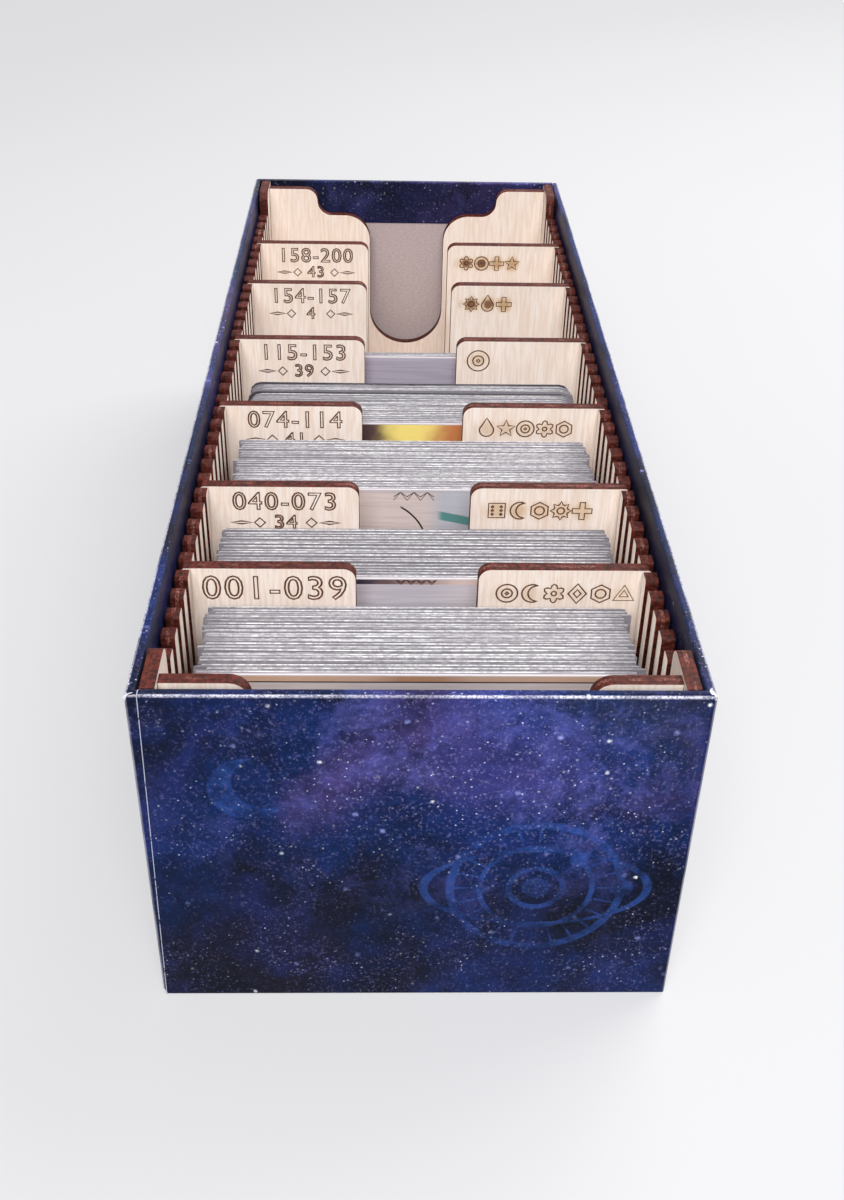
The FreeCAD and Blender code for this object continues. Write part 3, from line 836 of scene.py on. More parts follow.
def add_flake(name, spine, widths, across):
    """A curled sliver of paper along a spine in mm; across is the direction of its width."""
    steps = len(spine) - 1
    clear_selection()
    bpy.ops.mesh.primitive_grid_add(x_subdivisions=steps, y_subdivisions=1, size=1)
    flake = bpy.context.object
    flake.name = name
    for vert in flake.data.vertices:
        number = round((vert.co.x + 0.5) * steps)
        side = 1 if vert.co.y > 0 else -1
        vert.co = Vector(spine[number]) * MM + Vector(across) * side * widths[number] * MM / 2
    settle(flake)
    apply_modifier(flake, "SUBSURF", levels=1, render_levels=1)
    apply_modifier(flake, "SOLIDIFY", thickness=FLAKE_THICKNESS, offset=0.0)
    flake.data.materials.append(torn_paint.material)
    start_edit(flake)
    bpy.ops.mesh.select_all(action="SELECT")
    bpy.ops.mesh.normals_make_consistent(inside=False)
    clear_selection()
    finish_piece(flake, "tray", [])


add_flake("torn_flake_left",
          [(-54.15, -147.35, 81.6), (-54.10, -147.42, 82.4), (-53.95, -147.30, 82.95),
           (-53.4, -146.9, 83.02), (-52.7, -146.6, 82.98)],
          (0.25, 0.70, 0.85, 0.60, 0.15), (0.80, -0.35, 0.45))
add_flake("torn_flake_right",
          [(53.95, -147.40, 82.1), (53.9, -147.25, 82.85), (53.5, -146.6, 83.05),
           (53.2, -145.9, 83.15), (53.35, -145.2, 83.05), (53.6, -144.7, 82.95)],
          (0.30, 0.75, 0.85, 0.70, 0.55, 0.20), (0.85, 0.20, 0.40))
add_flake("torn_flake_foot",
          [(-54.15, -147.40, 1.9), (-54.05, -147.46, 1.2), (-53.9, -147.45, 0.6),
           (-53.5, -147.42, 0.35)],
          (0.15, 0.55, 0.65, 0.20), (0.85, -0.20, 0.45))

# %% [markdown]
# ## Greyboard
# Below the turned-in paper, the inside of the tray is bare greyboard: pressed waste paper, matt
# and warm grey, with pale and dark fibres in it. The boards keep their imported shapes, so they
# only need the finish. Short stretched noise in two directions reads as fibres.

# %% Greyboard finish
board_paint = Paint("greyboard", roughness=0.92, specular=0.2)
long_fibres = board_paint.noise(1.0, 3.0, stretch=(900, 260, 2200))
cross_fibres = board_paint.noise(1.0, 3.0, stretch=(2600, 1900, 380), shift=(5, 5, 5))
fibres = board_paint.blend(board_paint.step(long_fibres, 0.35, 0.65), ink(176, 161, 162),
                           ink(188, 174, 174))
flecks = board_paint.step(cross_fibres, 0.62, 0.74)
board_paint.colour(board_paint.blend(board_paint.times(flecks, 0.35), fibres, ink(156, 142, 145)))
board_paint.relief(long_fibres, 0.05 * MM)
BOARDS = ("left_board", "right_board", "front_board", "back_board", "base_board")
for node_name in BOARDS:
    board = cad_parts[node_name]
    board.data.materials.clear()
    board.data.materials.append(board_paint.material)
print("greyboard on %d boards" % len(BOARDS))

# %% [markdown]
# ## Birch plywood, cut by laser
# The insert is 3 mm birch plywood. Its faces are pale cream with fine grain. The grain is noise
# that is squeezed across the fibres and drawn out along them. On a divider, the laser's smoke has
# stained the wood round each engraved sign: a wide tan halo, and some dark soot close to the lines.
# Each divider stores how strong its stain is and where its row of signs ends.

# %% Plywood faces
SIGN_START_X = 19.7 * MM
SIGN_STEP = 5.15 * MM
SIGN_DROP = 6.2 * MM
SIGN_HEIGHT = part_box("divider_1")[1].z - SIGN_DROP
STAIN_RAGGED = 2.2 * MM
UPRIGHT_GRAIN = (1500, 1500, 120)
LYING_GRAIN = (1500, 120, 1500)


def laser_stain(paint, wood):
    """A tan halo round each sign of the row, and soot that is heaviest on the first two."""
    past_start = paint.step(paint.x, 15.0 * MM, 17.5 * MM)
    beyond = paint.math("SUBTRACT", paint.x, paint.own("stain_end"))
    row = paint.times(past_start, paint.step(beyond, -0.5 * MM, 0.5 * MM, 1.0, 0.0))
    number = paint.math("DIVIDE", paint.math("SUBTRACT", paint.x, SIGN_START_X), SIGN_STEP)
    across = paint.math("MULTIPLY", paint.math("PINGPONG", number, 0.5), SIGN_STEP)
    up = paint.math("SUBTRACT", paint.z, SIGN_HEIGHT)
    squares = paint.math("ADD", paint.times(across, across), paint.times(up, up))
    ragged = paint.times(paint.noise(420.0, 4.0, shift=(6, 1, 6), crisp=0.6), STAIN_RAGGED)
    away = paint.math("ADD", paint.math("SQRT", squares), ragged)
    strength = paint.own("stain_strength")
    halo = paint.step(away, 2.2 * MM, 4.6 * MM, 1.0, 0.0)
    wood = paint.blend(paint.times(halo, row, strength, 0.8), wood, ink(206, 166, 112))
    soot = paint.step(away, 2.0 * MM, 3.1 * MM, 1.0, 0.0)
    soot_share = paint.step(strength, 0.80, 1.0, 0.10, 0.90)
    first_two = paint.step(number, 1.5, 1.8, 1.0, 0.30)
    return paint.blend(paint.times(soot, row, soot_share, first_two), wood, ink(112, 72, 54))


def veneer(name, grain, stained=False):
    """Birch veneer; grain is the noise's scale along each axis, low along the fibres."""
    paint = Paint(name, roughness=0.55, specular=0.35)
    fibre = paint.noise(1.0, 4.0, stretch=grain)
    wood = paint.blend(paint.step(fibre, 0.32, 0.70), ink(243, 231, 222), ink(232, 213, 198))
    bands = paint.noise(1.0, 2.0, stretch=[part / 9 for part in grain], shift=(3, 1, 2))
    band_mask = paint.times(paint.step(bands, 0.45, 0.75), 0.20)
    wood = paint.blend(band_mask, wood, ink(226, 202, 178))
    flecks = paint.noise(1.0, 2.0, stretch=[part * 2.4 for part in grain], shift=(9, 9, 9))
    fleck_mask = paint.times(paint.step(flecks, 0.66, 0.74), 0.36)
    wood = paint.blend(fleck_mask, wood, ink(200, 168, 140))
    paint.colour(laser_stain(paint, wood) if stained else wood)
    paint.relief(fibre, 0.04 * MM)
    print("%-20s %d nodes" % (name, len(paint.tree.nodes)))
    return paint.material


upright_face = veneer("birch_face_upright", UPRIGHT_GRAIN)
stained_face = veneer("birch_face_stained", UPRIGHT_GRAIN, stained=True)
lying_face = veneer("birch_face_lying", LYING_GRAIN)

# %% [markdown]
# ## Burnt edges and engraved lines
# A laser burns its way through, so every cut edge is dark red-brown, and only the middle layer
# stays lighter in places; that lighter wood, with its bright flecks, is partly the real layer and
# partly a painted highlight. Faces and edges therefore need two materials. To tell the layers apart
# on an edge, each plate carries an attribute that runs from -0.5 on one face to 0.5 on the other.
# It is made from the plate's own thickness, so it works on any edge, whichever way that edge turns.

# %% Burnt edge and engraved line
GLUE_DEPTH = 0.17

edge = Paint("birch_burnt_edge", roughness=0.6, specular=0.2)
depth = edge.own("ply_depth")
char = edge.noise(1.0, 4.0, stretch=(900, 900, 1500))
burnt = edge.blend(edge.step(char, 0.32, 0.68), ink(44, 13, 9), ink(98, 40, 30))
core = edge.band(depth, 0.0, 0.13, 0.05)
patches = edge.step(edge.noise(190.0, 4.0, shift=(2, 2, 2)), 0.46, 0.62)
# painted highlight: bright flecks and a lighter middle layer along the burnt edge, partly real wood
sparkle_highlight = edge.step(edge.noise(2600.0, 2.0), 0.45, 0.62)
core_wood_and_highlight = edge.blend(sparkle_highlight, ink(92, 44, 34), ink(178, 124, 112))
burnt = edge.blend(edge.times(core, patches, 0.60), burnt, core_wood_and_highlight)
glue = edge.either(edge.band(depth, GLUE_DEPTH, 0.012, 0.02),
                   edge.band(depth, -GLUE_DEPTH, 0.012, 0.02))
edge.colour(edge.blend(edge.times(glue, 0.7), burnt, ink(38, 16, 14)))
edge.relief(char, 0.10 * MM)

burn = Paint("engraved_line", roughness=0.75, specular=0.2)
ash = burn.noise(1400.0, 2.0)
burn.colour(burn.blend(burn.step(ash, 0.3, 0.7), ink(72, 44, 32), ink(116, 80, 58)))
print("burnt edge: %d nodes, engraved line: %d" % (len(edge.tree.nodes), len(burn.tree.nodes)))

# %% [markdown]
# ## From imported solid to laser-cut plate
# Each plate keeps its packed outline, which has every slot, notch and rounded shoulder. A copy of
# it is merged and its flat faces dissolved, a hair-thin bevel softens its edges, and its two big
# faces get the veneer while all the rest gets the burnt edge.

# %% Plate maker
EDGE_SOFTENING = 0.10 * MM
PLATES = (("left_side_plate", "left_comb", 0, upright_face),
          ("right_side_plate", "right_comb", 0, upright_face),
          ("front_plate", "front_panel", 1, upright_face),
          ("back_plate", "back_panel", 1, upright_face),
          ("floor_plate", "insert_floor", 2, lying_face))


def copy_node(node_name, piece_name):
    """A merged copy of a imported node, free of its parent, with its own mesh."""
    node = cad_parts[node_name]
    piece = node.copy()
    piece.data = node.data.copy()
    piece.parent = None
    piece.matrix_world = Matrix.Identity(4)
    piece.name = piece_name
    for key in list(piece.keys()):
        del piece[key]
    bpy.context.scene.collection.objects.link(piece)
    piece.hide_render = False
    piece.hide_viewport = False
    piece.data.materials.clear()
    start_edit(piece)
    bpy.ops.mesh.select_all(action="SELECT")
    bpy.ops.mesh.remove_doubles(threshold=SAME)
    bpy.ops.mesh.dissolve_limited(angle_limit=math.radians(1))
    clear_selection()
    return piece


def face_and_edge(piece, axis, face_finish):
    """Give the two faces across an axis the veneer and every other face the burnt edge."""
    piece.data.materials.append(face_finish)
    piece.data.materials.append(edge.material)
    for face in piece.data.polygons:
        face.material_index = 0 if abs(face.normal[axis]) > 0.9 else 1


def store(piece, name, values):
    """Keep one number per point of a mesh under a name that a finish can read."""
    marks = piece.data.attributes.new(name, "FLOAT", "POINT")
    marks.data.foreach_set("value", values)


def mark_depth(piece, axis, low, high):
    """Store each point's place between the two faces, from -0.5 to 0.5."""
    store(piece, "ply_depth",
          [(vert.co[axis] - low) / (high - low) - 0.5 for vert in piece.data.vertices])


def soften_edges(piece, width):
    """A hair-thin bevel on every sharp edge."""
    apply_modifier(piece, "BEVEL", width=width, segments=1, limit_method="ANGLE",
                   angle_limit=math.radians(60))


def make_plate(node_name, piece_name, axis, face_finish):
    """A packed plate as laser-cut plywood; axis is the one across its thickness."""
    plate = copy_node(node_name, piece_name)
    low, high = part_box(node_name)
    soften_edges(plate, EDGE_SOFTENING)
    face_and_edge(plate, axis, face_finish)
    mark_depth(plate, axis, low[axis], high[axis])
    return plate


for node_name, piece_name, axis, face_finish in PLATES:
    plate = make_plate(node_name, piece_name, axis, face_finish)
    finish_piece(plate, "insert", [node_name])

# %% [markdown]
# ## Engraving tools
# Each divider carries a number on its left tab and a row of small signs on its right tab. A laser
# engraves them as dark grooves. The cutting tools are thin tubes that run along the outlines: a
# text or a circle primitive becomes a curve, gets a round bevel, and becomes a mesh. Boolean then
# takes the tubes out of the plate, which leaves real grooves with their own dark material. Every
# sign starts as a circle with a few corners, and its corners are pulled in or out to shape it: a
# star has every second corner pulled in, and a diamond is a squashed circle of four corners.
# Where a sharp tip makes a tube cross itself, the cut can leave a corner that joins only two
# edges. Cut into triangles, the two faces on it would lie back to back, so it is dissolved.

# %% Engraving tools
GROOVE = 0.22 * MM


def tube_along(piece):
    """Turn a flat outline into a thin tube that can cut a groove."""
    take(piece)
    bpy.ops.object.convert(target="CURVE")
    line = bpy.context.object
    line.data.dimensions = "3D"
    line.data.fill_mode = "FULL"
    line.data.bevel_depth = GROOVE
    line.data.bevel_resolution = 1
    bpy.ops.object.convert(target="MESH")
    return settle(bpy.context.object)


def cut_number(words, size, x, z, y):
    """A groove along the outlines of a line of text."""
    clear_selection()
    bpy.ops.object.text_add(location=(x, y, z), rotation=(math.pi / 2, 0, 0))
    number = bpy.context.object
    number.data.body = words
    number.data.size = size
    number.data.align_x = "CENTER"
    number.data.align_y = "CENTER"
    number.data.resolution_u = 3
    number.data.space_character = 1.12
    return tube_along(number)


def cut_outline(x, z, y, corners):
    """One closed outline through corners given from its own middle."""
    clear_selection()
    bpy.ops.mesh.primitive_circle_add(vertices=len(corners), radius=1.0)
    sign = bpy.context.object
    for vert, (across, up) in zip(sign.data.vertices, corners):
        vert.co = (x + across, y, z + up)
    return tube_along(sign)


def cut_sign(x, z, y, corners, radius, reach=(1.0,), spin=90.0, squash=(1.0, 1.0), shift=(0, 0)):
    """An outline whose corners lie round a circle, each at its own reach."""
    outline = []
    for number in range(corners):
        angle = math.radians(spin + 360 * number / corners)
        far = reach[number % len(reach)]
        outline.append((radius * (far * math.cos(angle) * squash[0] + shift[0]),
                        radius * (far * math.sin(angle) * squash[1] + shift[1])))
    return cut_outline(x, z, y, outline)


print("grooves are %.2f mm wide" % (2 * GROOVE / MM))

# %% Signs
SIGN_SIZE = 2.35 * MM
LONE_SIGN_SIZE = 3.2 * MM


def sign_target(x, z, y, size):
    """A ring in a ring, round a dot."""
    return [cut_sign(x, z, y, 20, size), cut_sign(x, z, y, 14, size * 0.5),
            cut_sign(x, z, y, 4, size * 0.16)]


def sign_triangle(x, z, y, size):
    """A triangle in a triangle."""
    return [cut_sign(x, z, y, 3, size * 1.15, shift=(0, -0.15)),
            cut_sign(x, z, y, 3, size * 0.5, shift=(0, -0.15))]


def sign_diamond(x, z, y, size):
    """A narrow diamond in a diamond."""
    return [cut_sign(x, z, y, 4, size * 1.1, squash=(0.78, 1.0)),
            cut_sign(x, z, y, 4, size * 0.45, squash=(0.78, 1.0))]


def sign_hexagon(x, z, y, size):
    """A circle in a hexagon."""
    return [cut_sign(x, z, y, 6, size), cut_sign(x, z, y, 12, size * 0.5)]


def sign_star(x, z, y, size):
    """A star with five points."""
    return [cut_sign(x, z, y, 10, size * 1.1, reach=(1.0, 0.42))]


def sign_sun(x, z, y, size):
    """A ring of eight short rays round a circle."""
    return [cut_sign(x, z, y, 24, size * 1.1, reach=(1.0, 0.68, 0.68)),
            cut_sign(x, z, y, 12, size * 0.38)]


def sign_dice(x, z, y, size):
    """A square with six spots."""
    spots = [cut_sign(x + across * size, z + up * size, y, 4, size * 0.13)
             for across in (-0.45, 0.45) for up in (-0.45, 0.0, 0.45)]
    return [cut_sign(x, z, y, 4, size * 1.2, spin=45.0)] + spots


def sign_drop(x, z, y, size):
    """A circle whose top is pulled out to a tip."""
    return [cut_sign(x, z, y, 16, size * 0.8, reach=(1.9, 1.22, 1.0) + (1.0,) * 12 + (1.22,),
                     shift=(0, -0.25))]


def sign_plus(x, z, y, size):
    """A plus with arms of even width."""
    return [cut_sign(x, z, y, 12, size * 1.05, reach=(1.0, 1.0, 0.37), spin=75.0)]


def sign_moon(x, z, y, size):
    """Two arcs: a wide outer one, and an inner one whose centre lies to the side."""
    tips = math.radians(60)
    aside = 0.45
    inner_radius = math.hypot(math.cos(tips) - aside, math.sin(tips))
    inner_tip = math.atan2(math.sin(tips), math.cos(tips) - aside)
    arcs = []
    for part in range(15):
        angle = tips + (2 * math.pi - 2 * tips) * part / 14
        arcs.append((math.cos(angle), math.sin(angle)))
    for part in range(1, 11):
        angle = -inner_tip - (2 * math.pi - 2 * inner_tip) * part / 11
        arcs.append((aside + inner_radius * math.cos(angle), inner_radius * math.sin(angle)))
    return [cut_outline(x, z, y, [(size * (across + 0.2), size * up) for across, up in arcs])]


def sign_flower(x, z, y, size):
    """Six petals round a small circle."""
    return [cut_sign(x, z, y, 24, size * 1.05, reach=(1.0, 0.86, 0.6, 0.86)),
            cut_sign(x, z, y, 8, size * 0.25)]


print("signs are about %.1f mm across, and one that stands alone %.1f mm"
      % (2 * SIGN_SIZE / MM, 2 * LONE_SIGN_SIZE / MM))

# %% [markdown]
# ## Six dividers
# The dividers are alike, so one list says what differs: the label, the count, how strong the stain
# is, and the signs. The first has one large number range across its tab. The others have a smaller
# range, with the count of cards below it between two small diamonds and rules. A sign that stands
# alone is cut larger. Only a divider's front is stained, so its back takes the plain veneer.

# %% What a divider's tabs say
LABEL_X = -31.0 * MM
LABEL_SIZE = 6.8 * MM
LABEL_DROP = 4.3 * MM
WIDE_LABEL_SIZE = 8.6 * MM
WIDE_LABEL_DROP = 5.4 * MM
COUNT_SIZE = 5.4 * MM
COUNT_DROP = 10.0 * MM
DIAMOND_SIZE = 1.3 * MM
DIAMOND_ASIDE = 6.2 * MM
RULE_SIZE = 2.6 * MM
RULE_ASIDE = 10.6 * MM
RULE_SQUASH = (1.0, 0.16)


def label_tools(label, count, top, face_y):
    """The number range on a left tab, and below it the count between diamonds and rules."""
    if not count:
        return [cut_number(label, WIDE_LABEL_SIZE, LABEL_X, top - WIDE_LABEL_DROP, face_y)]
    height = top - COUNT_DROP
    tools = [cut_number(label, LABEL_SIZE, LABEL_X, top - LABEL_DROP, face_y),
             cut_number(count, COUNT_SIZE, LABEL_X, height, face_y)]
    for side in (-1, 1):
        tools.append(cut_sign(LABEL_X + side * DIAMOND_ASIDE, height, face_y, 4, DIAMOND_SIZE))
        tools.append(cut_sign(LABEL_X + side * RULE_ASIDE, height, face_y, 4, RULE_SIZE,
                              squash=RULE_SQUASH))
    return tools


def sign_tools(signs, top, face_y):
    """The row of signs on a right tab."""
    size = SIGN_SIZE if len(signs) > 1 else LONE_SIGN_SIZE
    tools = []
    for number, make_sign in enumerate(signs):
        tools += make_sign(SIGN_START_X + number * SIGN_STEP, top - SIGN_DROP, face_y, size)
    return tools


print("labels are set at %.1f mm and %.1f mm" % (WIDE_LABEL_SIZE / MM, LABEL_SIZE / MM))

# %% Dividers
DIVIDERS = (
    ("001-039", "", 0.30, (sign_target, sign_moon, sign_flower, sign_diamond, sign_hexagon,
                           sign_triangle)),
    ("040-073", "34", 0.70, (sign_dice, sign_moon, sign_hexagon, sign_sun, sign_plus)),
    ("074-114", "41", 0.50, (sign_drop, sign_star, sign_target, sign_flower, sign_hexagon)),
    ("115-153", "39", 0.55, (sign_target,)),
    ("154-157", "4", 1.0, (sign_sun, sign_drop, sign_plus)),
    ("158-200", "43", 1.0, (sign_flower, sign_target, sign_plus, sign_star)))


def engrave(plate, tools):
    """Cut all the tubes out of one plate and keep the grooves' dark material."""
    cutter = join(tools, "cutter")
    cutter.data.materials.clear()
    cutter.data.materials.append(burn.material)
    apply_modifier(plate, "BOOLEAN", operation="DIFFERENCE", object=cutter, solver="EXACT",
                   use_self=True, material_mode="TRANSFER")
    bpy.data.objects.remove(cutter)
    start_edit(plate)
    if pick(plate, "verts", lambda vert: len(vert.link_edges) == 2):
        bpy.ops.mesh.dissolve_verts()
    clear_selection()


def plain_back(plate, finish):
    """Give the face that looks backwards a finish of its own."""
    plate.data.materials.append(finish)
    last_slot = len(plate.data.materials) - 1
    for face in plate.data.polygons:
        if face.material_index == 0 and face.normal.y > 0.9:
            face.material_index = last_slot


for place, (label, count, stain, signs) in enumerate(DIVIDERS, start=1):
    node_name = "divider_%d" % place
    low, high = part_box(node_name)
    divider = make_plate(node_name, "engraved_divider_%d" % place, 1, stained_face)
    engrave(divider, label_tools(label, count, high.z, low.y) + sign_tools(signs, high.z, low.y))
    points = len(divider.data.vertices)
    row_end = SIGN_START_X + (len(signs) - 0.5) * SIGN_STEP
    store(divider, "stain_end", [row_end] * points)
    store(divider, "stain_strength", [stain] * points)
    plain_back(divider, upright_face)
    finish_piece(divider, "divider_%d_body" % place, [node_name])

# %% [markdown]
# ## Packs of sleeved cards
# A pack is a row of clear sleeves, each with a card in it. What shows is their tops: a fine stack
# of silvery lines, no two alike. The film glints in short dashes along its edge, a painted
# highlight, and slow darker swells along it are painted shade. Each copy of the sleeve stores a
# tone of its own, which moves the dashes and darkens the whole leaf; on every second leaf this
# darkening is painted shade. A sleeve is wider than its card, and beyond the ends of the card the
# film has nothing white behind it, so it is darker there. The sleeve needs four finishes: the film,
# the white edge of the card in its mouth, its silvery back, and a darker copy of that back with
# painted shade, for the side that faces the sleeve in front.

# %% Sleeve finishes
sleeve = Paint("sleeve_film", roughness=0.34, specular=0.5)
tone_and_shade = sleeve.own("tone_and_shade")
own_line = sleeve.add("ShaderNodeCombineXYZ")
sleeve.feed(own_line.inputs[0], sleeve.x)
sleeve.feed(own_line.inputs[1], sleeve.math("MULTIPLY", tone_and_shade, 9.0))
glint = sleeve.noise(620.0, 4.0, along=own_line.outputs[0], crisp=0.7)
# painted highlight and shade: glint dashes whiten the film, slow swells darken it
swell_shade = sleeve.noise(38.0, 2.0, along=own_line.outputs[0])
film = sleeve.blend(sleeve.step(glint, 0.40, 0.60), ink(206, 201, 207), ink(255, 254, 255))
film = sleeve.blend(sleeve.times(sleeve.step(swell_shade, 0.46, 0.62), 0.40), film, ink(158, 152, 161))
from_middle = sleeve.math("ABSOLUTE", sleeve.x)
past_card = sleeve.step(from_middle, 36.0 * MM, 45.5 * MM, 0.0, 0.50)
film = sleeve.blend(past_card, film, ink(120, 116, 126))
sleeve.colour(sleeve.shaded(film, sleeve.step(tone_and_shade, 0.0, 1.0, 0.14, 1.0)))
sleeve.rough(glint, 0.22, 0.50)

back = Paint("sleeve_back", roughness=0.32, specular=0.5)
sheen = back.noise(1.0, 3.0, stretch=(70, 70, 1700))
soft = back.noise(24.0, 3.0, shift=(8, 3, 1))
silver = back.blend(back.step(sheen, 0.36, 0.66), ink(160, 154, 164), ink(196, 190, 198))
back.colour(back.blend(back.times(back.step(soft, 0.4, 0.7), 0.35), silver, ink(148, 144, 160)))
back.relief(soft, 0.12 * MM)

# painted shade: the sleeve's film again, darker, for the side that faces the sleeve in front
gap_shade = Paint("sleeve_gap_shade", roughness=0.5, specular=0.3)
gap_streak = gap_shade.noise(1.0, 2.0, stretch=(90, 90, 900))
gap_grey = gap_shade.blend(gap_streak, ink(112, 108, 116), ink(152, 147, 155))
# painted shadow: where a leaf's tone is near 0, this side is drawn near black as an outline
outline = gap_shade.step(gap_shade.own("tone_and_shade"), 0.02, 0.10, 0.80, 0.0)
gap_shade.colour(gap_shade.blend(outline, gap_grey, ink(30, 28, 36)))

card_edge = Paint("card_edge", roughness=0.8, specular=0.2)
board_grain = card_edge.noise(1.0, 2.0, stretch=(700, 2600, 900))
card_edge.colour(card_edge.blend(board_grain, ink(176, 170, 172), ink(238, 234, 232)))
LEAF_FINISHES = (sleeve.material, card_edge.material, back.material, gap_shade.material)
print("sleeve finishes:", ", ".join(finish.name for finish in LEAF_FINISHES))

# %% [markdown]
# ## One sleeve
# One sleeve is modelled in full: a thin block with rounded corners, cut across so that it can bow,
# with its open mouth inset and pushed down to the edge of the card. The slot numbers follow the
# list of finishes: the mouth's floor is the card's edge, and the two big faces are back and front.

# %% One sleeve
card_low, card_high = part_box("face_card_1")
LEAF_DEPTH = 0.40 * MM
LEAF_HEIGHT = card_high.z - card_low.z
FILM = 0.07 * MM
MOUTH = 0.9 * MM
SQUARE_CORNER = 0.4 * MM
ROUND_CORNER = 3.0 * MM
BEND_LINES = (-30, -15, 0, 15, 30)
BIG_FACE = 2e-4          # square metres: more than any inner wall of the mouth
CARD_SLOT, BACK_SLOT, GAP_SHADE_SLOT = 1, 2, 3
half_width = card_high.x
half_depth = LEAF_DEPTH / 2


def on_corner(edge):
    """Whether an edge of the block runs through its depth, as those at its four corners do."""
    return abs(edge.verts[0].co.y - edge.verts[1].co.y) > SAME


def make_sleeve(corner):
    """One sleeved card, standing on the origin."""
    leaf = add_block("sleeve", (-half_width, -half_depth, 0),
                     (half_width, half_depth, LEAF_HEIGHT))
    start_edit(leaf)
    pick(leaf, "edges", on_corner)
    bpy.ops.mesh.bevel(offset=corner, segments=3, affect="EDGES")
    for cut_x in BEND_LINES:
        bpy.ops.mesh.select_all(action="SELECT")
        bpy.ops.mesh.bisect(plane_co=(cut_x * MM, 0, 0), plane_no=(1, 0, 0))
    pick(leaf, "faces", lambda face: face.normal.z > 0.9)
    bpy.ops.mesh.inset(thickness=FILM)
    extrude((0, 0, -MOUTH))
    clear_selection()
    for finish in LEAF_FINISHES:
        leaf.data.materials.append(finish)
    for face in leaf.data.polygons:
        in_mouth = abs(face.center.z - (LEAF_HEIGHT - MOUTH)) < 10 * SAME
        if face.normal.z > 0.9 and in_mouth:
            face.material_index = CARD_SLOT
        elif abs(face.normal.y) > 0.9 and face.area > BIG_FACE:
            face.material_index = BACK_SLOT if face.normal.y > 0 else GAP_SHADE_SLOT
    return leaf


square_leaf = make_sleeve(SQUARE_CORNER)
round_leaf = make_sleeve(ROUND_CORNER)
print("one sleeve: %d faces" % len(square_leaf.data.polygons))

# %% [markdown]
# ## From one sleeve to five packs
# The sleeve is copied, and each copy is nudged, skewed and bowed by a seeded random amount. Light
# and dark copies take turns: the dark ones are painted shade, because in a real pack the bright
# edge of one sleeve is followed by the shaded gap before the next. The fourth pack stands in two
# groups.
# Its sleeves have rounder corners, and the last sleeve of each group is painted dark, a little
# taller and a little wider, so that it draws a painted shadow outline round the group in front.
# The first leaf of a pack is seen in full, so its front takes the silvery finish instead of the
# shaded one.

# %% All packs
PITCH_SHAKE = 0.10
TOP_SPREAD = 0.24 * MM
SIDE_SPREAD = 0.5 * MM
SKEW_SPREAD = 0.0016
BOW_SPREAD = 0.07 * MM
BOW_WAVE = 2.6
PACKS = ((39, 0.38, 1.15), (34, 0.20, 1.00), (41, 0.40, 1.15), (39, 0.30, 1.00), (4, 0.45, 0.75))
LIGHT_TONES = (0.50, 1.0)
GAP_SHADE_TONES = (0.0, 0.35)
ROUND_PACK = 4
GROUP_ENDS = (30, 38)
GROUP_GAP = 1.3 * MM
END_RISE = 1.5 * TOP_SPREAD
END_WIDER = 0.35 * MM
chance = random.Random(21)


def sleeve_copy(template, floor_z, y, tone_and_shade, rise, wider):
    """A copy of the sleeve with its own small errors."""
    copy = template.copy()
    copy.data = template.data.copy()
    bpy.context.scene.collection.objects.link(copy)
    slide = chance.gauss(0.0, SIDE_SPREAD)
    skew = chance.gauss(0.0, SKEW_SPREAD)
    bow = chance.gauss(0.0, BOW_SPREAD)
    start = chance.uniform(0.0, 2 * math.pi)
    for vert in copy.data.vertices:
        along = vert.co.x / half_width
        vert.co.y += y + bow * math.cos(along * BOW_WAVE + start)
        if vert.co.z > LEAF_HEIGHT / 2:
            vert.co.z += rise + skew * vert.co.x
        vert.co.z += floor_z
        vert.co.x += slide + wider * along
    store(copy, "tone_and_shade", [tone_and_shade] * len(copy.data.vertices))
    return copy


def fill_pack(low, high, count, dull, bright, in_groups):
    """The leaves of one pack, from front to back, with tones between dull and bright."""
    template = round_leaf if in_groups else square_leaf
    pitch = (high.y - low.y - (GROUP_GAP if in_groups else 0.0)) / count
    leaves = []
    for number in range(count):
        y = low.y + (number + 0.5 + chance.uniform(-PITCH_SHAKE, PITCH_SHAKE)) * pitch
        # painted shade: every second leaf takes a darker tone, for the shaded gap before the next
        # sleeve
        tones = GAP_SHADE_TONES if number % 2 else LIGHT_TONES
        tone_and_shade = dull + (bright - dull) * chance.uniform(*tones)
        rise = chance.uniform(0.0, TOP_SPREAD)
        wider = 0.0
        if in_groups and number > GROUP_ENDS[0]:
            y += GROUP_GAP
        # painted shadow: the last sleeve of each group is drawn dark, to outline the group in front
        if in_groups and number in GROUP_ENDS:
            tone_and_shade, rise, wider = 0.0, END_RISE, END_WIDER
        leaves.append(sleeve_copy(template, low.z, y, tone_and_shade, rise, wider))
    return leaves


for place, (count, dull, bright) in enumerate(PACKS, start=1):
    node_name = "card_pack_%d" % place
    low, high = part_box(node_name)
    leaves = fill_pack(low, high, count, dull, bright, place == ROUND_PACK)
    for face in leaves[0].data.polygons:
        if face.material_index == GAP_SHADE_SLOT:
            face.material_index = BACK_SLOT
    pack = join(leaves, "sleeved_pack_%d" % place)
    finish_piece(pack, "pack_%d_body" % place, [node_name])
bpy.data.objects.remove(square_leaf)
bpy.data.objects.remove(round_leaf)

# %% [markdown]
# ## The first card of each pack
# The front card of each pack stands face forward, so the top of its printed face shows through the
# notch of the divider in front. Each face is a plain generic design: a picture strip that fades
# from one colour to another over a pale panel, and on some a black rule, a row of pointed flags, or
# a drawing of a blade and an arc. A design is made of distances from the card's top edge and from
# its middle. Each card has a pale border, as if cut from a printed sheet with its margin.

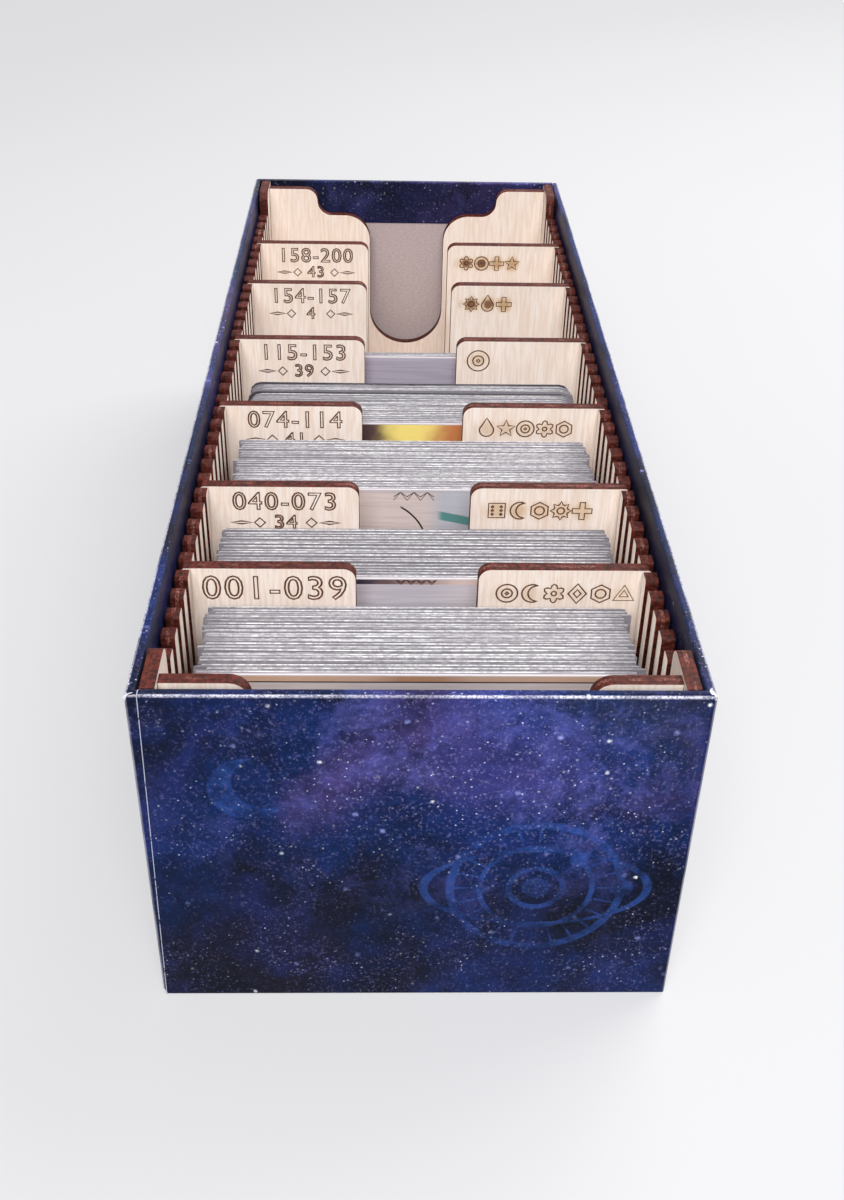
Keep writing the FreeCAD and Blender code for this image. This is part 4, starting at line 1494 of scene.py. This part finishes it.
# %% Parts of a card's design
INK_LINE = 0.11 * MM
INK_SOFT = 0.06 * MM
ARC_MIDDLE = (-10.5 * MM, -49.4 * MM, 52.0 * MM)          # just before the third card's face
ARC_RADIUS = 14.0 * MM
BLADE_HEIGHT = 63.0 * MM
BLADE_TILT = 0.22


def picture_fade(paint, left, middle, right):
    """Three colours that fade into each other across the card, with soft patches."""
    sway = paint.math("MULTIPLY", paint.math("SUBTRACT", paint.noise(130.0, 3.0), 0.5), 10 * MM)
    across = paint.math("ADD", paint.x, sway)
    fade = paint.blend(paint.step(across, -11 * MM, -3 * MM), ink(*left), ink(*middle))
    return paint.blend(paint.step(across, 2 * MM, 11 * MM), fade, ink(*right))


def bunting(paint, below, drop, half_length, points):
    """Pointed flags that hang in a row from a line this far below the card's top."""
    down = paint.math("SUBTRACT", card_high.z - below, paint.z)
    wave = paint.math("MULTIPLY", paint.x, points / (2 * half_length))
    wave = paint.math("PINGPONG", wave, 0.5)
    rows = []
    for share in (1.0, 0.55):
        flag = paint.math("MULTIPLY", wave, 2 * drop * share)
        rows.append(paint.band(paint.math("SUBTRACT", down, flag), 0.0, INK_LINE, INK_SOFT))
    from_middle = paint.math("ABSOLUTE", paint.x)
    inside = paint.step(from_middle, half_length, half_length + 0.05 * MM, 1.0, 0.0)
    return paint.times(paint.either(*rows), inside)


def pale_panel(paint, haze, left, right):
    """The lower panel: one colour on the left, one on the right, and fine level lines."""
    panel = paint.blend(paint.step(paint.x, 2 * MM, 8 * MM), ink(*left), ink(*right))
    lines = paint.times(paint.step(haze, 0.42, 0.62), 0.28)
    return paint.blend(lines, panel, ink(*[part * 0.8 for part in left]))


def blade_mask(paint):
    """A slanted blade at the right of the panel."""
    tilted = paint.math("ADD", paint.z, paint.math("MULTIPLY", paint.x, BLADE_TILT))
    return paint.times(paint.band(tilted, BLADE_HEIGHT, 1.1 * MM, 0.25 * MM),
                       paint.step(paint.x, 5.5 * MM, 7.5 * MM))


def arc_mask(paint):
    """The right half of a thin ring."""
    ring = paint.band(sphere_distance(paint, ARC_MIDDLE), ARC_RADIUS, 0.20 * MM, INK_SOFT)
    return paint.times(ring, paint.step(paint.x, -3.5 * MM, -3.0 * MM))


print("ink lines are %.2f mm wide" % (2 * INK_LINE / MM))

# %% Card faces
CARD_FACES = (
    dict(strip_height=1.7 * MM, panel=((196, 188, 190), (196, 188, 190)), ruled=True,
         strip=((190, 158, 138), (170, 130, 104), (186, 156, 138))),
    dict(strip_height=1.5 * MM, panel=((196, 189, 197), (202, 194, 200)),
         strip=((44, 40, 58), (150, 120, 112), (212, 188, 182)),
         flags=(0.3 * MM, 1.3 * MM, 4.6 * MM, 4)),
    dict(strip_height=0.9 * MM, panel=((214, 198, 194), (184, 186, 196)),
         strip=((196, 184, 186), (190, 182, 186), (176, 180, 188)),
         flags=(0.8 * MM, 2.3 * MM, 5.0 * MM, 3), drawing=True),
    dict(strip_height=60 * MM, panel=((120, 80, 70), (120, 80, 70)),
         strip=((82, 62, 62), (250, 226, 130), (196, 124, 78))),
    dict(strip_height=1.2 * MM, panel=((172, 164, 178), (172, 164, 178)),
         strip=((176, 168, 182), (180, 172, 186), (174, 166, 180))))


def card_finish(name, strip_height, strip, panel, flags=None, drawing=False, ruled=False):
    """A picture strip over a panel, with flags, a drawing or a rule where the design says."""
    paint = Paint(name, roughness=0.30, specular=0.5)
    down = paint.math("SUBTRACT", card_high.z, paint.z)
    haze = paint.noise(1.0, 3.0, stretch=(60, 60, 1500))
    below = pale_panel(paint, haze, *panel)
    if drawing:
        below = paint.blend(blade_mask(paint), below, ink(88, 138, 136))
        below = paint.blend(arc_mask(paint), below, ink(40, 30, 30))
    strip_foot = strip_height + 0.15 * MM
    in_strip = paint.step(down, strip_height, strip_foot, 1.0, 0.0)
    art = paint.blend(in_strip, below, picture_fade(paint, *strip))
    if ruled:
        art = paint.blend(paint.band(down, strip_foot, 0.13 * MM, 0.05 * MM), art, ink(30, 24, 26))
    if flags:
        art = paint.blend(bunting(paint, *flags), art, ink(34, 26, 28))
    side = paint.math("SUBTRACT", card_high.x, paint.math("ABSOLUTE", paint.x))
    border = paint.step(paint.math("MINIMUM", side, down), 0.25 * MM, 0.40 * MM, 1.0, 0.0)
    paint.colour(paint.blend(border, art, ink(206, 200, 204)))
    paint.relief(haze, 0.03 * MM)
    return paint.material


for place, design in enumerate(CARD_FACES, start=1):
    node_name = "face_card_%d" % place
    card = copy_node(node_name, "front_card_%d" % place)
    card.data.materials.append(card_finish("card_face_%d" % place, **design))
    soften_edges(card, 0.06 * MM)
    finish_piece(card, "pack_%d_body" % place, [node_name])

# %% [markdown]
# ## Measuring the finished object
# The shown object's box is measured once more and printed, to set beside the imported model's box
# printed at the start.

# %% Sizes and finish
clear_selection()
low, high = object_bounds()
print("visual box, mm:", [round(size / MM, 1) for size in high - low])
